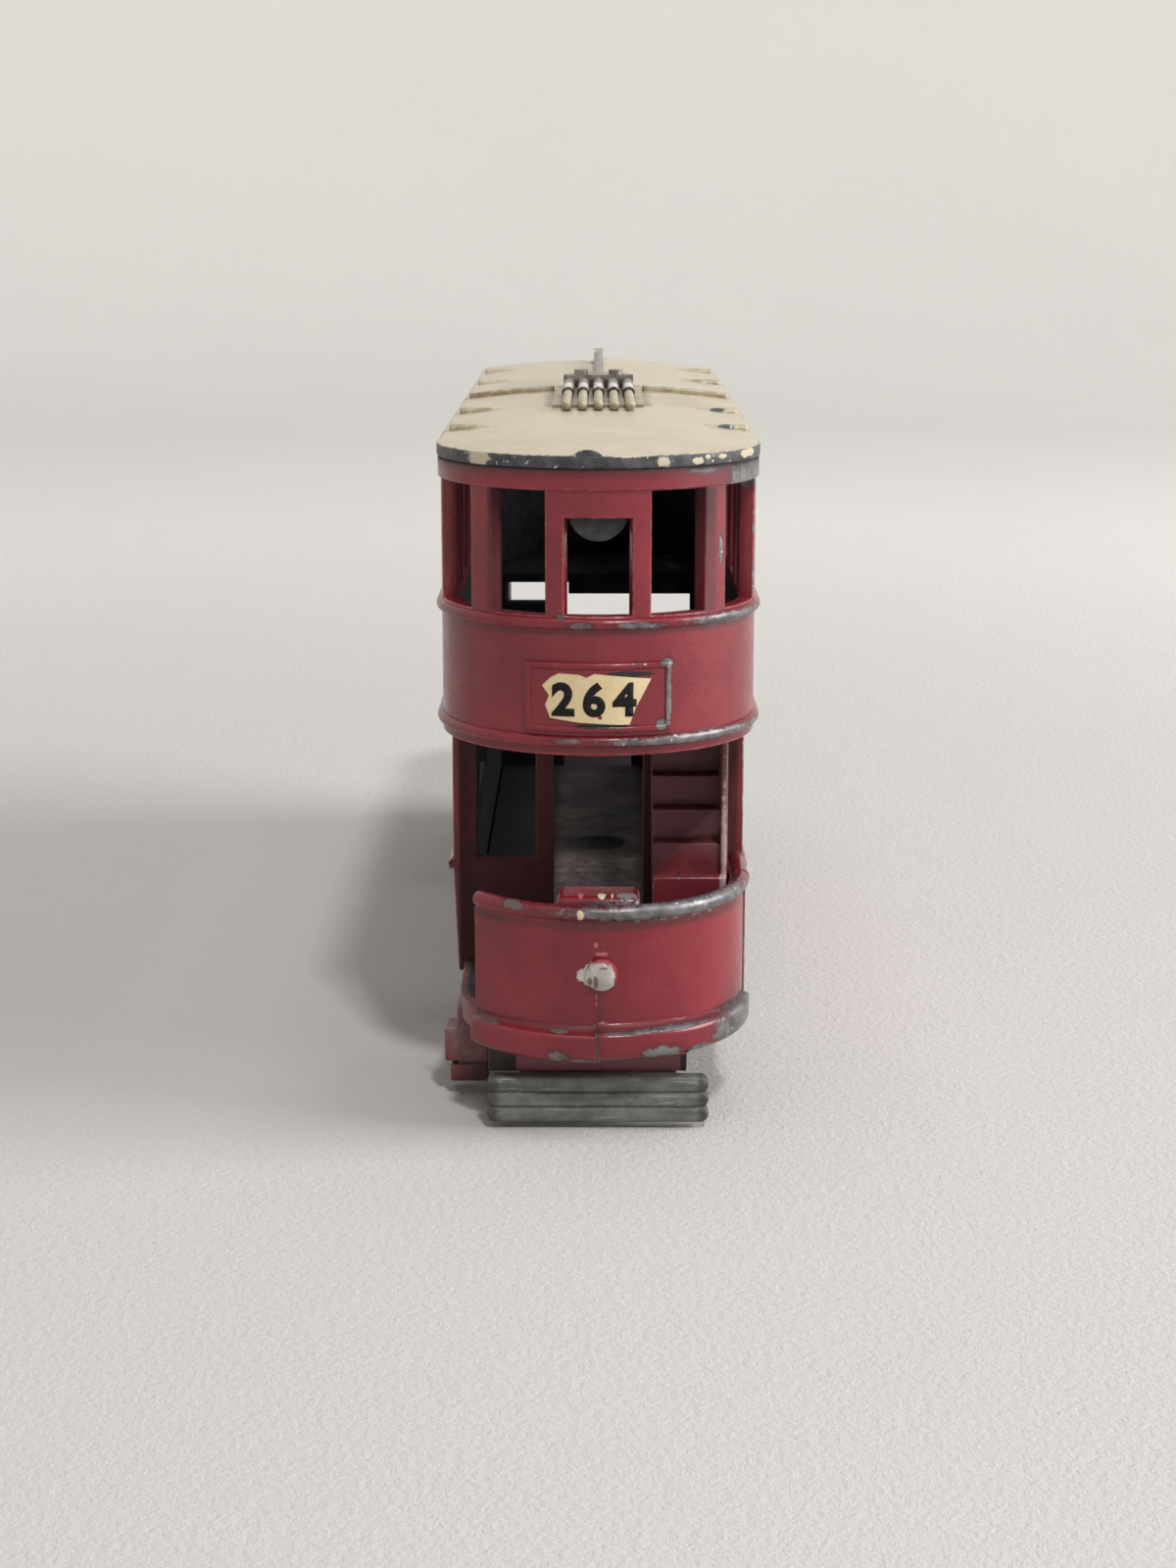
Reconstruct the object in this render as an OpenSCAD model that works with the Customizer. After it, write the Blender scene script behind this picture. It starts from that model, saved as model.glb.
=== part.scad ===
// Die-cast toy double-deck tram: open platforms, staircases, a cambered roof with trolley gear,
// and a base plate that carries two free-turning axles. Millimetres, +Z up, front end towards -Y.
// The two ends are the same, turned half a turn about the upright axis.

/* [Overall] */
// Length over the two fenders
tram_l = 78.6; // [72:0.2:88]
// Width over the upper deck's panels
deck_w = 16.7; // [16:0.1:18]
// Length of a platform, from its bulkhead to the fender's front
platform_l = 13.5; // [13:0.1:15]
// Distance between the two axles
wheel_base = 34; // [26:0.5:36]
// Easy fit between castings that drop into one another
fit_gap = 0.1; // [0.06:0.01:0.2]

/* [Wheels and axles] */
// Wheel diameter over the tread
wheel_d = 5.5; // [5.2:0.1:6.5]
// Wheel width
wheel_w = 2; // [1.6:0.1:2.2]
// Distance between the inner faces of a pair of wheels
wheel_inside = 8; // [7.4:0.1:8.4]
// Depth of the dished outer face of a wheel
wheel_dish = 0.45; // [0.2:0.05:0.8]
// Diameter of the wheel's hub boss
hub_d = 2.4; // [2:0.1:2.8]
// Radial width of the wheel's rim
rim_w = 0.6; // [0.4:0.05:0.8]
// Number of spokes in a wheel
spokes = 6; // [4:1:8]
// Width of a spoke
spoke_w = 0.5; // [0.3:0.05:0.7]
// Axle diameter
axle_d = 1.2; // [0.9:0.05:1.4]
// Radial running clearance of wheels on an axle and of an axle in its brackets
axle_gap = 0.05; // [0.03:0.01:0.09]
// Side clearance of a wheel between its bracket and the axle's formed end
side_gap = 0.15; // [0.1:0.05:0.3]
// Diameter of the axle's formed end
axle_end_d = 1.9; // [1.7:0.1:2.2]
// Length of the axle's formed end
axle_end_l = 0.35; // [0.2:0.05:0.6]

/* [Base plate] */
// Thickness of the base plate
base_t = 1; // [0.8:0.1:1.4]
// Clear height between a wheel and the base plate
wheel_room = 0.4; // [0.3:0.05:0.8]
// Diameter of the hole in the middle of the base plate
base_hole_d = 3.6; // [3:0.1:5]
// Thickness of an axle bracket
bracket_t = 1; // [0.8:0.1:1.3]
// Length of an axle bracket along the tram
bracket_l = 3.6; // [3:0.1:5]
// Metal below the axle in its bracket
bracket_foot = 0.7; // [0.5:0.05:0.9]
// Width of the tongue under each platform
tongue_w = 8.4; // [7:0.1:9]
// Thickness of the tongue
tongue_t = 1.1; // [0.9:0.1:1.3]
// Thickness of the upright web between the plate and the tongue
web_t = 1; // [0.8:0.1:1.4]
// Diameter of the rivet shank
rivet_d = 1.6; // [1.2:0.1:2]
// Diameter of the rivet head
rivet_head_d = 3.2; // [2.6:0.1:3.6]
// Height of the rivet head
rivet_head_h = 0.6; // [0.4:0.05:0.8]

/* [Lifeguards] */
// Width of a lifeguard
guard_w = 11.8; // [10:0.1:12.4]
// Number of bars in a lifeguard
guard_bars = 3; // [2:1:3]
// Height and depth of a lifeguard bar
guard_bar_d = 0.93; // [0.88:0.01:1]
// Radius of the rounded edges of a bar
guard_bar_edge = 0.26; // [0.2:0.01:0.35]
// Clear height of the lowest bar above the ground
guard_clear = 0.38; // [0.3:0.02:0.6]
// Thickness of the plate behind the bars
guard_plate_t = 0.5; // [0.4:0.05:0.8]
// Length of the two lugs under the tongue
guard_lug_l = 2.4; // [1.6:0.1:3]
// How far a lifeguard stands back from the fender's front
guard_back = 2.4; // [1.8:0.1:3]

/* [Lower body] */
// How far each side of the saloon stands in from the upper deck's panels
saloon_in = 0.2; // [0.1:0.05:0.5]
// How much further in each side is at its bottom edge
saloon_tuck = 0.25; // [0:0.05:0.3]
// Wall thickness of the saloon and bulkheads
wall_t = 0.9; // [0.8:0.05:1.1]
// Height from the base plate's top to the upper deck
saloon_room = 13.8; // [13:0.1:15]
// How far the saloon sides reach below the base plate's top
saloon_skirt = 1.3; // [1.1:0.1:2.4]
// Height of the waist bead above the base plate's top
waist_rise = 4.95; // [4.6:0.05:5.4]
// Radius of the waist bead
waist_bead_r = 0.26; // [0.15:0.01:0.35]
// Number of windows in each side of the saloon
saloon_windows = 4; // [3:1:5]
// Width of the pillars between saloon windows
saloon_pillar = 2; // [1.4:0.1:3]
// Height of the rail between the waist bead and a saloon window
saloon_sill = 0.5; // [0.3:0.05:0.8]
// Height of the rail between a saloon window and the blind light above it
light_rail = 0.7; // [0.5:0.05:1]
// Height of the blind lights above the saloon windows
light_h = 1.4; // [1:0.1:1.6]
// Depth of the blind lights
light_depth = 0.35; // [0.2:0.05:0.5]
// Distance from the top of a blind light to the upper deck
light_drop = 1.3; // [1:0.1:1.6]
// Doorway width in the bulkheads
door_w = 5; // [4.4:0.1:5.4]
// Height of the header over a doorway
door_header = 0.85; // [0.6:0.05:1.5]
// Width of the bulkhead window beside the doorway
bulkhead_window_w = 3.3; // [2.5:0.1:3.6]

/* [Platforms] */
// Step down from the base plate's top to the platform
platform_drop = 0.7; // [0.4:0.1:1]
// Thickness of the platform
platform_t = 1.6; // [1.2:0.1:2]
// Thickness of the pad under the platform that takes the rivet
pad_t = 1.65; // [1.3:0.05:1.8]
// How far the curved dash stands in from the upper deck's panels
dash_in = 0.4; // [0.3:0.05:0.7]
// Wall thickness of the dash
dash_t = 0.8; // [0.7:0.05:1]
// Height of the dash above the platform
dash_h = 6.05; // [5:0.05:7]
// Radius of the rolled rim of the dash
dash_rim_r = 0.42; // [0.3:0.02:0.5]
// Angle from straight ahead at which the dash ends beside the entrance
entrance_angle = 56; // [45:1:65]
// How far the fender stands in from the upper deck's panels, at its sides
fender_in = 0.05; // [0:0.05:0.3]
// Height of the fender's face
fender_h = 1.55; // [1.3:0.05:2]
// Radius of the fender's lower edge
fender_edge_r = 0.5; // [0.3:0.05:0.6]
// Radius of the hollow fold between the dash and the fender
fender_fold_r = 0.75; // [0.5:0.05:0.8]
// Mismatch of the two halves of the casting at the middle of the fender
die_shift = 0.14; // [0.06:0.02:0.2]
// Width of the controller behind the dash
controller_w = 4.4; // [3.6:0.1:5]
// Depth of the controller
controller_d = 2.7; // [2:0.1:3]
// Height of the controller above the platform
controller_h = 6.8; // [6.6:0.1:8]
// Length of the boarding step
step_l = 5.4; // [4:0.1:6]
// How far the boarding step stands out past the upper deck's panels
step_out = 0.1; // [0.05:0.05:0.3]
// Thickness of the boarding step's riser
riser_t = 0.8; // [0.6:0.05:1]
// Height of the boarding step's upper block
step_block_h = 1.7; // [1.4:0.05:2]
// Drop from the platform's underside to the top of that block
step_drop = 0.7; // [0.4:0.05:0.9]
// Thickness of the boarding step's lower tread
tread_t = 0.95; // [0.8:0.05:1.1]
// Clear height of the lower tread above the ground
step_clear = 0.8; // [0.6:0.05:1]

/* [Staircases] */
// Number of steps
stair_steps = 8; // [6:1:10]
// Depth of one step
stair_run = 1.25; // [1:0.05:1.3]
// How far the top step lies below the upper deck
stair_drop = 1.6; // [1.2:0.1:2.6]
// Thickness of the flight, measured upright
stair_t = 2.4; // [1.8:0.1:3]
// Gap between the doorway and the staircase's inner side
stair_in = 0.45; // [0.2:0.05:0.6]
// Thickness of the outer side panel
stair_panel_t = 0.4; // [0.3:0.05:0.6]
// Length of the outer side panel
stair_panel_l = 5.6; // [4:0.1:6]

/* [Upper deck] */
// Height of the upper deck casting
deck_h = 14.65; // [14:0.05:16]
// How far the upper deck's ends stand back from the fenders
deck_back = 0.6; // [0.3:0.1:1.2]
// Wall thickness of the upper deck
deck_t = 0.9; // [0.75:0.05:1.05]
// Height of the skirt bead above the upper deck's bottom edge
skirt_bead_rise = 0.75; // [0.6:0.05:1]
// Height of the waist bead above the upper deck's bottom edge
deck_waist_rise = 6.8; // [6.4:0.05:7.2]
// Radius of the two beads round the upper deck
deck_bead_r = 0.3; // [0.2:0.01:0.35]
// Height of the window sills above the waist bead's middle
deck_sill = 0.4; // [0.35:0.05:0.8]
// Depth of the band above the upper deck's windows
top_band = 1.15; // [1:0.05:1.8]
// How far that band stands out of the pillars
band_proud = 0.15; // [0.1:0.01:0.18]
// Depth of the header over each end's middle window
header_rail = 2.5; // [2:0.05:3]
// Number of windows in each side of the upper deck
deck_windows = 8; // [6:1:10]
// Width of the pillars between the upper deck's side windows
deck_pillar = 1.1; // [0.9:0.05:1.5]
// Thickness of the ceiling over each platform
canopy_t = 0.7; // [0.5:0.05:1]
// Width of the destination box on each end
sign_w = 7.35; // [7:0.05:7.6]
// Height of the destination box
sign_h = 3.6; // [3.4:0.05:3.7]
// Height of the destination box's middle above the upper deck's bottom edge
sign_rise = 3.05; // [2.95:0.05:3.3]
// Width of the raised border of the destination box
sign_border = 0.35; // [0.3:0.05:0.6]
// How far the border stands out of the panel
sign_proud = 0.3; // [0.2:0.02:0.4]
// Depth of the sign's face behind its border
sign_sunk = 0.12; // [0.1:0.01:0.18]
// Thickness of the paper label on the sign
label_t = 0.08; // [0.06:0.01:0.1]

/* [Headlamps] */
// Diameter of a headlamp
lamp_d = 1.7; // [1.4:0.1:2.2]
// How far a headlamp stands out of the dash
lamp_proud = 0.55; // [0.4:0.05:0.8]
// Height of the headlamp above the platform
lamp_rise = 2.85; // [2:0.05:3.5]
// How far the headlamp sits to the right of the middle
lamp_off = 0.2; // [0:0.05:0.4]

/* [Roof] */
// Overhang of the roof past the upper deck's panels
roof_out = 0.2; // [0.15:0.01:0.35]
// Height of the roof's upright edge
roof_rim_h = 0.65; // [0.4:0.05:1]
// Rise of the roof's camber above its edge
roof_camber = 0.6; // [0.4:0.05:1]
// Width of the locating lug under each end of the roof
lug_w = 3.1; // [2:0.1:3.2]
// Reach of the locating lug below the roof
lug_h = 3.8; // [3.5:0.1:4.4]
// Thickness of the locating lug
lug_t = 0.8; // [0.6:0.1:1.2]
// Width of the strip across the middle of the roof
strip_w = 0.9; // [0.6:0.1:1.4]
// Height of the strip across the middle of the roof
strip_h = 0.15; // [0.1:0.01:0.25]
// Distance of the strip and ventilator bars from the roof's sides
roof_margin = 0.35; // [0.3:0.05:0.6]
// Radius of the short ventilator bars near the roof's sides
vent_r = 0.3; // [0.2:0.02:0.4]
// Length of a ventilator bar
vent_l = 2.45; // [1.6:0.05:3]
// Distance of the inner ventilator bars from the middle of the roof
vent_inner = 12.6; // [8:0.1:16]
// Distance of the outer ventilator bars from the middle of the roof
vent_outer = 24.4; // [20:0.1:28]
// Width of the casting nub on the roof's end edges
nub_w = 1.6; // [1:0.1:2]
// Height of the nub above the roof's edge
nub_h = 0.3; // [0.2:0.02:0.4]
// How far the nub sits to the left of the middle
nub_off = 0.55; // [0:0.05:1]

/* [Trolley gear] */
// Width of the trolley base
trolley_w = 5.4; // [5:0.1:6]
// Length of the trolley base in front of the yoke
trolley_l = 14; // [10:0.1:16]
// Number of spring rods
springs = 5; // [3:1:5]
// Distance between the spring rods
spring_pitch = 0.92; // [0.8:0.01:1]
// Diameter of a spring rod
spring_d = 0.56; // [0.4:0.02:0.6]
// How far the rods' tips reach past the base's front edge
spring_tip = 2.6; // [1:0.1:4]
// Diameter of the thick rear stretch of a spring rod
sleeve_d = 0.72; // [0.64:0.02:0.78]
// Length of that stretch
sleeve_l = 8; // [5:0.1:9]
// Thickness of the trolley base's foot
foot_t = 0.12; // [0.1:0.01:0.3]
// Height of the yoke above its foot
yoke_h = 0.95; // [0.8:0.05:1.4]
// Length of the yoke
yoke_l = 3; // [2:0.1:4]
// Width of the yoke at the pole
yoke_w = 1.4; // [1:0.1:2]
// Diameter of the two pivot bosses on the yoke
boss_d = 0.9; // [0.6:0.05:1.1]
// Diameter of the trolley pole
pole_d = 0.66; // [0.5:0.02:0.72]
// Length of the trolley pole
pole_l = 28; // [20:0.5:32]

/* [Hidden] */
$fn = 64;
embed = 0.4;             // depth to which features of one casting run into one another
cut = 1;                 // overshoot of a cutter past the face that it opens
lap = 0.05;              // small overlap or step that keeps two faces of a casting from coinciding
arc_steps = 6;           // straight pieces in a quarter round of a drawn outline

// Heights, from the ground up
axle_z = wheel_d / 2;
base_z = wheel_d + wheel_room;
floor_z = base_z + base_t;
saloon_z = floor_z - saloon_skirt;
platform_z = floor_z - platform_drop;
slab_z = platform_z - platform_t;
tongue_top = slab_z - pad_t;
tongue_z = tongue_top - tongue_t;
waist_z = floor_z + waist_rise;
deck_z = floor_z + saloon_room;
deck_waist_z = deck_z + deck_waist_rise;
deck_sill_z = deck_waist_z + deck_sill;
deck_top = deck_z + deck_h;
band_z = deck_top - top_band;
rim_z = deck_top + roof_rim_h;
crown_z = rim_z + roof_camber;
dash_top = platform_z + dash_h;
fender_top = platform_z - 0.2;

// Plan
deck_r = deck_w / 2;
end_y = tram_l / 2 - deck_back - deck_r;
dash_r = deck_r - dash_in;
fender_r = deck_r - fender_in;
fender_y = tram_l / 2 - fender_r;
fender_d = 1.6;
saloon_y = tram_l / 2 - platform_l;
saloon_l = 2 * saloon_y;
saloon_x = deck_r - saloon_in;
inner_x = saloon_x - wall_t;
inner_y = saloon_y - wall_t;

// Doors, windows and stairs
saloon_window_z = waist_z + waist_bead_r + saloon_sill;
light_z = deck_z - light_drop - light_h;
door_top = deck_z - door_header;
stair_top = deck_z - stair_drop;
stair_x = door_w / 2 + stair_in;
stair_out = dash_r - dash_t - fit_gap;
well_x = door_w / 2 - 0.3;
bulkhead_window_x = inner_x - wall_t / 2;
bulkhead_sill_z = waist_z + waist_bead_r + 0.1;

// Angles of the upper deck's end windows, from straight ahead
mid_window_a = 12;
front_window_a = [19, 41];
corner_window_a = [52, 80];

// Destination box
sign_z = deck_z + sign_rise;
sign_face_r = deck_r + sign_proud - sign_sunk;
sign_a = asin(sign_w / 2 / deck_r);
sign_inner_a = asin((sign_w / 2 - sign_border) / deck_r);
sign_inner_h = sign_h - 2 * sign_border;

// Roof and trolley gear
roof_r = deck_r + roof_out;
camber_r = (roof_r * roof_r + roof_camber * roof_camber) / (2 * roof_camber);
camber_z = crown_z - camber_r;
pad_top = crown_z + 0.02;
foot_top = pad_top + foot_t;
pole_z = foot_top + pole_d / 2;
pole_y = 2.2;
yoke_y = pole_y - yoke_l;
trolley_front = yoke_y - trolley_l;

// Running gear
bracket_x = wheel_inside / 2 - side_gap - bracket_t;
wheel_out = wheel_inside / 2 + wheel_w;
guard_front = tram_l / 2 - guard_back;
guard_pitch = (tongue_top - guard_clear - guard_bar_d) / (guard_bars - 1);
tongue_end = guard_front - guard_bar_d / 2 - guard_plate_t;
rivet_y = (saloon_y + tongue_end) / 2;

// Shared shapes

// Points along an arc about [x, y]
function arc(x, y, r, a0, a1) = [for (i = [0 : arc_steps])
    let (a = a0 + (a1 - a0) * i / arc_steps) [x + r * cos(a), y + r * sin(a)]];

module box(x0, x1, y0, y1, z0, z1) {
    translate([x0, y0, z0]) cube([x1 - x0, y1 - y0, z1 - z0]);
}

// Part of a ring about the upright axis, from angle a0 to a1 measured from straight ahead, left negative
module front_arc(r0, r1, z0, z1, a0, a1) {
    rotate([0, 0, a0 - 90]) rotate_extrude(angle = a1 - a0)
        translate([r0, z0]) square([r1 - r0, z1 - z0]);
}

// Round bar bent about the upright axis
module front_bead(r, bead_r, z, a0, a1) {
    rotate([0, 0, a0 - 90]) rotate_extrude(angle = a1 - a0)
        translate([r, z]) circle(r = bead_r);
}

module rod_x(r, x0, x1, y, z) {
    translate([x0, y, z]) rotate([0, 90, 0]) cylinder(r = r, h = x1 - x0);
}

module rod_y(r, y0, y1, x, z) {
    translate([x, y1, z]) rotate([90, 0, 0]) cylinder(r = r, h = y1 - y0);
}

module at_front(y) {
    translate([0, -y, 0]) children();
}

module half_turn() {
    rotate([0, 0, 180]) children();
}

module both_ends() {
    children();
    half_turn() children();
}

// Upright wall with straight sides and half-round ends
module round_wall(r, t, z0, z1) {
    for (side = [-1, 1])
        box(min(side * r, side * (r - t)), max(side * r, side * (r - t)), -end_y, end_y, z0, z1);
    both_ends() at_front(end_y) front_arc(r - t, r, z0, z1, -90, 90);
}

// Bead that runs right round such a wall
module round_bead(r, bead_r, z) {
    for (side = [-1, 1]) rod_y(bead_r, -end_y, end_y, side * r, z);
    both_ends() at_front(end_y) front_bead(r, bead_r, z, -90, 90);
}

// Lower body: saloon, bulkheads, platforms, dashes, fenders and boarding steps in one casting

module saloon_side() {
    rotate([90, 0, 0]) linear_extrude(height = saloon_l, center = true) polygon([
        [inner_x, saloon_z], [saloon_x - saloon_tuck, saloon_z],
        [saloon_x, waist_z], [saloon_x, deck_z], [inner_x, deck_z]
    ]);
    rod_y(waist_bead_r, -saloon_y, saloon_y, saloon_x, waist_z);
}

module saloon_openings() {
    bay = (saloon_l - saloon_pillar) / saloon_windows;
    window_l = bay - saloon_pillar;
    for (i = [0 : saloon_windows - 1]) {
        y0 = -saloon_y + saloon_pillar + i * bay;
        box(-saloon_x - cut, saloon_x + cut, y0, y0 + window_l, saloon_window_z, light_z - light_rail);
        for (side = [0, 1]) mirror([side, 0, 0])
            box(saloon_x - light_depth, saloon_x + cut, y0, y0 + window_l, light_z, light_z + light_h);
    }
}

module bulkhead() {
    difference() {
        box(-inner_x - embed, inner_x + embed, -saloon_y, -inner_y, slab_z, deck_z);
        box(-door_w / 2, door_w / 2, -saloon_y - cut, -inner_y + cut, platform_z, door_top);
        box(-bulkhead_window_x, bulkhead_window_w - bulkhead_window_x,
            -saloon_y - cut, -inner_y + cut, bulkhead_sill_z, door_top);
        box(well_x, bulkhead_window_x, -saloon_y - cut, -inner_y + cut, stair_top, deck_z + cut);
    }
}

module platform() {
    slab_r = dash_r - dash_t / 2;
    box(-slab_r, slab_r, -end_y, -inner_y, slab_z, platform_z);
    at_front(end_y) front_arc(0, slab_r, slab_z, platform_z, -90, 90);
    box(-tongue_w / 2, tongue_w / 2, -tongue_end, -rivet_y + rivet_head_d, tongue_top, slab_z + embed);
}

module dash() {
    rim_path_r = dash_r - dash_rim_r / 3;
    ball_r = 1.15 * dash_rim_r;
    at_front(end_y) {
        front_arc(dash_r - dash_t, dash_r, slab_z + embed, dash_top, -entrance_angle, 90);
        front_bead(rim_path_r, dash_rim_r, dash_top, -entrance_angle, 89);
        for (a = [-entrance_angle, 90])
            rotate([0, 0, a - 90]) translate([rim_path_r, 0, dash_top]) sphere(r = ball_r);
    }
    box(dash_r - dash_t + lap, dash_r + 2 * lap, -end_y - embed, -inner_y, slab_z + embed, dash_top);
    rod_y(dash_rim_r, 2 * lap - end_y, -inner_y - embed, rim_path_r, dash_top);
}

// Half of the fender: rounded face, and a hollow fold that runs up into the dash
module fender_half(shift, inset, a0, a1) {
    r = fender_r - inset;
    z0 = fender_top - fender_h + shift;
    z1 = fender_top + shift;
    fold_x = end_y + dash_r - fender_y - 2 * lap + fender_fold_r;
    edge = r - fold_x;
    at_front(fender_y) rotate([0, 0, a0 - 90]) rotate_extrude(angle = a1 - a0) polygon(concat(
        [[fender_r - fender_d, z0]],
        arc(r - fender_edge_r, z0 + fender_edge_r, fender_edge_r, -90, 0),
        arc(r - edge, z1 - edge, edge, 0, 90),
        arc(fold_x, z1 + fender_fold_r, fender_fold_r, 270, 180),
        [[fold_x - fender_fold_r - lap, z1], [fender_r - fender_d, z1 - lap]]
    ));
}

module fender() {
    fender_half(-die_shift / 2, lap, -entrance_angle, 1);
    fender_half(die_shift / 2, 0, -1, 88);
}

module controller() {
    front = end_y + dash_r - dash_t / 2 - 0.2;
    box(-controller_w / 2, controller_w / 2, -front, controller_d - front,
        slab_z + embed, platform_z + controller_h);
}

module boarding_step() {
    out = deck_r + step_out;
    riser_x = dash_r - dash_t - 2 * fit_gap;
    block_top = slab_z - step_drop;
    y1 = -saloon_y;
    y0 = y1 - step_l;
    box(-riser_x - riser_t, -riser_x, y0, y1, step_clear, slab_z + embed);
    box(-out, -riser_x - lap, y0, y1, block_top - step_block_h, block_top);
    box(-out + 0.3, -riser_x + embed, y0, y1, step_clear, step_clear + tread_t);
}

module lower_body() color("firebrick") difference() {
    union() {
        difference() {
            for (side = [0, 1]) mirror([side, 0, 0]) saloon_side();
            saloon_openings();
        }
        both_ends() {
            bulkhead();
            platform();
            dash();
            fender();
            controller();
            boarding_step();
        }
    }
    both_ends() translate([0, -rivet_y, tongue_top - cut])
        cylinder(d = rivet_d + 2 * axle_gap, h = cut + pad_t + platform_t / 2);
}

// Staircase from the platform to the upper deck

module stair_flight() {
    rise = (stair_top - platform_z) / stair_steps;
    back = -saloon_y;
    front = back - stair_run * stair_steps;
    treads = [for (i = [0 : stair_steps - 1], corner = [0, 1])
        [front + i * stair_run, platform_z + (i + corner) * rise]];
    translate([stair_x, 0, 0]) rotate([90, 0, 90]) linear_extrude(height = stair_out - stair_x)
        polygon(concat(treads, [[back, stair_top], [back, stair_top - stair_t],
            [front + stair_t / rise * stair_run, platform_z]]));
}

module front_staircase() color("firebrick") intersection() {
    union() {
        stair_flight();
        box(stair_out - stair_panel_t, stair_out, -saloon_y - stair_panel_l, -saloon_y, platform_z, deck_z);
    }
    union() {
        at_front(end_y) front_arc(0, stair_out, platform_z - cut, deck_z + cut, -90, 90);
        box(-stair_out, stair_out, -end_y, cut - saloon_y, platform_z - cut, deck_z + cut);
    }
}

module rear_staircase() half_turn() front_staircase();

// Upper deck: one ring of panels and windows, with a ceiling over each platform

module deck_side_windows() {
    bay = (saloon_l - deck_pillar) / deck_windows;
    window_l = bay - deck_pillar;
    for (i = [0 : deck_windows - 1]) {
        y0 = -saloon_y + deck_pillar + i * bay;
        box(-deck_r - cut, deck_r + cut, y0, y0 + window_l, deck_sill_z, band_z);
    }
    for (side = [0, 1]) mirror([0, side, 0])
        box(-deck_r - cut, deck_r + cut, saloon_y, end_y - deck_pillar, deck_sill_z, band_z);
}

module deck_end_windows() {
    r0 = deck_r - deck_t - cut;
    r1 = deck_r + cut;
    at_front(end_y) {
        front_arc(r0, r1, deck_sill_z, deck_top - header_rail, -mid_window_a, mid_window_a);
        for (a = [front_window_a, corner_window_a]) {
            front_arc(r0, r1, deck_sill_z, band_z, a[0], a[1]);
            front_arc(r0, r1, deck_sill_z, band_z, -a[1], -a[0]);
        }
    }
}

module canopy() {
    r = deck_r - deck_t / 2;
    at_front(end_y) front_arc(0, r, deck_z, deck_z + canopy_t, -90, 90);
    box(-r, r, -end_y, -inner_y, deck_z, deck_z + canopy_t);
}

module sign_box() {
    at_front(end_y) difference() {
        front_arc(deck_r - embed, deck_r + sign_proud, sign_z - sign_h / 2, sign_z + sign_h / 2,
            -sign_a, sign_a);
        front_arc(sign_face_r, deck_r + cut, sign_z - sign_inner_h / 2, sign_z + sign_inner_h / 2,
            -sign_inner_a, sign_inner_a);
    }
}

module upper_deck() color("firebrick") {
    difference() {
        union() {
            round_wall(deck_r, deck_t, deck_z, deck_top);
            round_bead(deck_r, deck_bead_r, deck_z + skirt_bead_rise);
            round_bead(deck_r, deck_bead_r, deck_waist_z);
        }
        deck_side_windows();
        both_ends() deck_end_windows();
    }
    round_wall(deck_r + band_proud, band_proud + deck_t / 2, band_z + lap, deck_top);
    both_ends() {
        canopy();
        sign_box();
    }
}

// Torn paper label that is left on the sign's face
module front_destination_label() color("wheat") intersection() {
    at_front(end_y) front_arc(sign_face_r, sign_face_r + label_t, sign_z - sign_inner_h / 2 + label_t,
        sign_z + sign_inner_h / 2 - label_t, 1 - sign_inner_a, sign_inner_a - 1);
    translate([0, 0, sign_z]) rotate([90, 0, 0]) linear_extrude(height = tram_l) polygon([
        [-2.85, 0.6], [-2.4, 1.05], [-2, 1.25], [-1, 1.2], [-0.6, 1.05], [-0.2, 1.25], [2.7, 0.95],
        [2.3, 0.2], [1.9, -0.55], [1.6, -1.4], [-1, -1.25], [-2.45, -1.05], [-2.7, -0.4], [-2.5, 0.1]
    ]);
}

module rear_destination_label() half_turn() front_destination_label();

// Headlamp stud on the dash, with a domed face
module front_headlamp() color("gainsboro") difference() {
    translate([lamp_off, -end_y - dash_r - lamp_proud, platform_z + lamp_rise]) {
        dome_r = (lamp_d * lamp_d / 4 + lamp_proud * lamp_proud / 4) / lamp_proud;
        intersection() {
            rod_y(lamp_d / 2, 0, lamp_proud + embed, 0, 0);
            translate([0, dome_r, 0]) sphere(r = dome_r);
        }
    }
    at_front(end_y) translate([0, 0, slab_z]) cylinder(r = dash_r, h = deck_z - slab_z);
}

module rear_headlamp() half_turn() front_headlamp();

// Roof: cambered plate with domed ends, locating lugs, strip and ventilator bars

module camber(extra) {
    intersection() {
        box(-roof_r, roof_r, -end_y, end_y, deck_top, crown_z + extra);
        rod_y(camber_r + extra, -end_y, end_y, 0, camber_z, $fn = 360);
    }
}

module domed_end() {
    at_front(end_y) intersection() {
        front_arc(0, roof_r, deck_top, crown_z + cut, -90, 90);
        translate([0, 0, camber_z]) sphere(r = camber_r, $fn = 200);
    }
}

module locating_lug() {
    face = end_y + sqrt(pow(deck_r - deck_t, 2) - lug_w * lug_w / 4) - fit_gap;
    translate([0, lug_t - face, 0]) rotate([90, 0, 0]) linear_extrude(height = lug_t) {
        translate([-lug_w / 2, deck_top - lug_h + lug_w / 2]) square([lug_w, lug_h - lug_w / 2 + embed]);
        translate([0, deck_top - lug_h + lug_w / 2]) circle(d = lug_w);
    }
}

// Half-round nub left by the casting on the middle of an end edge
module casting_nub() {
    r = (nub_w * nub_w / 4 + nub_h * nub_h) / (2 * nub_h);
    intersection() {
        rod_y(r, -end_y - roof_r, -end_y - roof_r + 2 * embed, -nub_off, rim_z + nub_h - r);
        box(-nub_off - nub_w, nub_w, -end_y - roof_r, embed - end_y - roof_r, deck_top + lap, crown_z);
        at_front(end_y) front_arc(roof_r - 2 * embed, roof_r - lap / 2, deck_top, crown_z, -90, 90);
    }
}

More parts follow.
